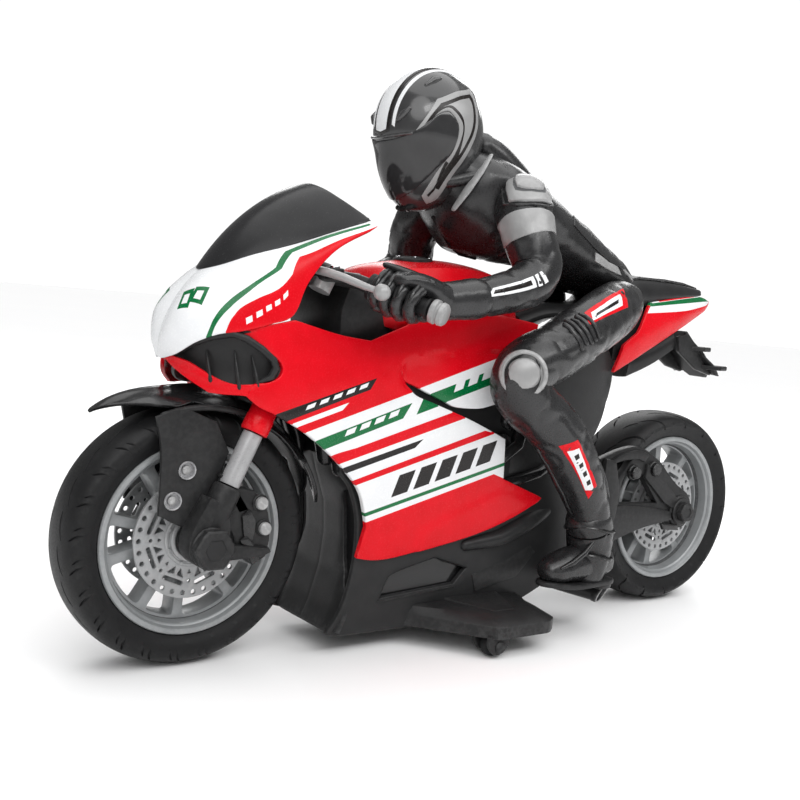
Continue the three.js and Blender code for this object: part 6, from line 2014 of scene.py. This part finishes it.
def stabiliser(name, side):
    """One outrigger: a chamfered wing with a raised spine, the roller's cheeks and its pin."""
    outline = [Vector(p) for p in ((24.5, 12.5), (10.6, 29), (7.4, 32.9), (-9.6, 32.9), (-13, 30.2),
        (-15, 18), (-15, 12.5))]
    centre = Vector((2, 12.5))
    shrink = lambda by: [centre + (p - centre) * by if p.y > 13 else Vector((p.x, p.y)) for p in outline]
    levels = [(1.0, 5.4), (1.0, 8.4), (0.985, 8.7), (0.80, 10.6), (0.62, 11.0), (0.5, 11.05)]
    loops = []
    for by, z in levels:
        loop = curve([tuple(p) + (1,) for p in shrink(by)], 1.6)
        loops.append([Vector((p.x, p.y, z)) for p in loop])
    count = min(len(loop) for loop in loops)
    even = [[resample(loop, i / count) for i in range(count)] for loop in loops]
    shape = rings(even, "black")
    spine = curve([(13, 13, 1), (4.6, 27, 1), (-2, 27, 1), (-7, 13, 1)], 1.4)
    shape.join(slab(spine, 10.6, 12.0, "black", [], 0.5, lambda u, v,
        w: Vector((u, v, w - 0.07 * (v - 13)))))
    for d in (2.2, -3.4):
        cheek = curve([(2.6, 6, 1), (3.2, 3.4), (5.2, 1.2), (7.8, 1.2), (9.6, 3.4), (9.8, 6, 1)], 0.9)
        shape.join(slab(cheek, 28.2 + d, 29.4 + d, "black", [], 0.3))
    shape.join(turned_on([(0.3, -3.6), (0.9, -3.6), (0.9, 3.9), (0.3, 3.9)], (6, 28.2, 3), (0, 1, 0),
        "steel", 20))
    shape.join(turned_on([(1.6, 3.3), (1.6, 3.7), (1.3, 4.0), (0.3, 4.0)], (6, 28.2, 3), (0, 1, 0),
        "black", 24))
    wheel = lathe([(0.9, -1.3), (2.5, -1.3), (2.9, -0.9), (3.0, -0.3), (3.0, 0.3), (2.9, 0.9), (2.5, 1.3),
        (1.6, 1.3), (1.5, 1.05), (0.9, 1.05)], (6, 28.2, 3), "rubber", 56)
    shape = shape if side > 0 else shape.mirrored()
    wheel = wheel if side > 0 else wheel.mirrored()
    shape.emit("outrigger_" + name, "frame", ["stabiliser_wing_" + name], "satin_black")
    wheel.emit("outrigger_wheel_" + name, "roller_" + name, ["stabiliser_roller_" + name], "satin_black")


def resample(loop, t):
    """The point a share t of the way round a closed loop of evenly spaced points."""
    at = t * len(loop)
    i = int(at) % len(loop)
    return loop[i].lerp(loop[(i + 1) % len(loop)], at - int(at))


def underside():
    flat = lambda u, v, w: Vector((u, v, w))
    door = slab(curve([(10.4, -8.9, 1), (33.6, -8.9, 1), (33.6, 8.9, 1), (10.4, 8.9, 1)], 2), 5.2, 6.6,
        "black", [], 0.3, flat)
    for x in range(15, 31, 3):
        door.join(slab(curve([(x, -5, 1), (x + 1.2, -5, 1), (x + 1.2, 5, 1), (x, 5, 1)], 1), 4.9, 5.6,
            "black", [], 0.2, flat))
    door.join(bolt((31.6, 0, 5.2), (0, 0, -1), 1.3, 0.4, "steel"))
    door.emit("battery_hatch", "frame", ["battery_door"], "satin_black")
    knob = slab(curve([(-7.1, -2.9, 1), (-4.3, -2.9, 1), (-4.3, 2.9, 1), (-7.1, 2.9, 1)], 1), 6.2, 8.3,
        "black", [], 0.25, flat)
    for y in (-0.9, 0, 0.9):
        knob.join(slab(curve([(-6.4, y - 0.3, 1), (-5, y - 0.3, 1), (-5, y + 0.3, 1), (-6.4, y + 0.3, 1)],
            0.6), 5.4, 6.4, "silver", [], 0.15, flat))
    knob.emit("slide_switch", "switch", ["power_switch"], "satin_black")


tank()
seat()
tail()
plate_holder()
intake_panel()
fork_crown().emit("lower_yoke", "steering", ["fork_crown"], "satin_black")
swingarm()
gear_case()
rear_axle()
exhausts()
for name, side in (("left", 1), ("right", -1)):
    stabiliser(name, side)
underside()

# The drive, battery and electronics keep their CAD shapes and take a moulded or metal finish.
INSIDE = {
    "steering_servo": "black", "servo_pinion": "white", "battery": "smoke", "circuit_board": "green",
    "drive_motor": "steel", "motor_pinion": "steel", "idler_gear_front": "white",
    "idler_gear_rear": "white", "wheel_gear": "white",
}
for node, colour in INSIDE.items():
    for slot in bpy.data.objects[node].material_slots:
        slot.material = FINISHES[colour]
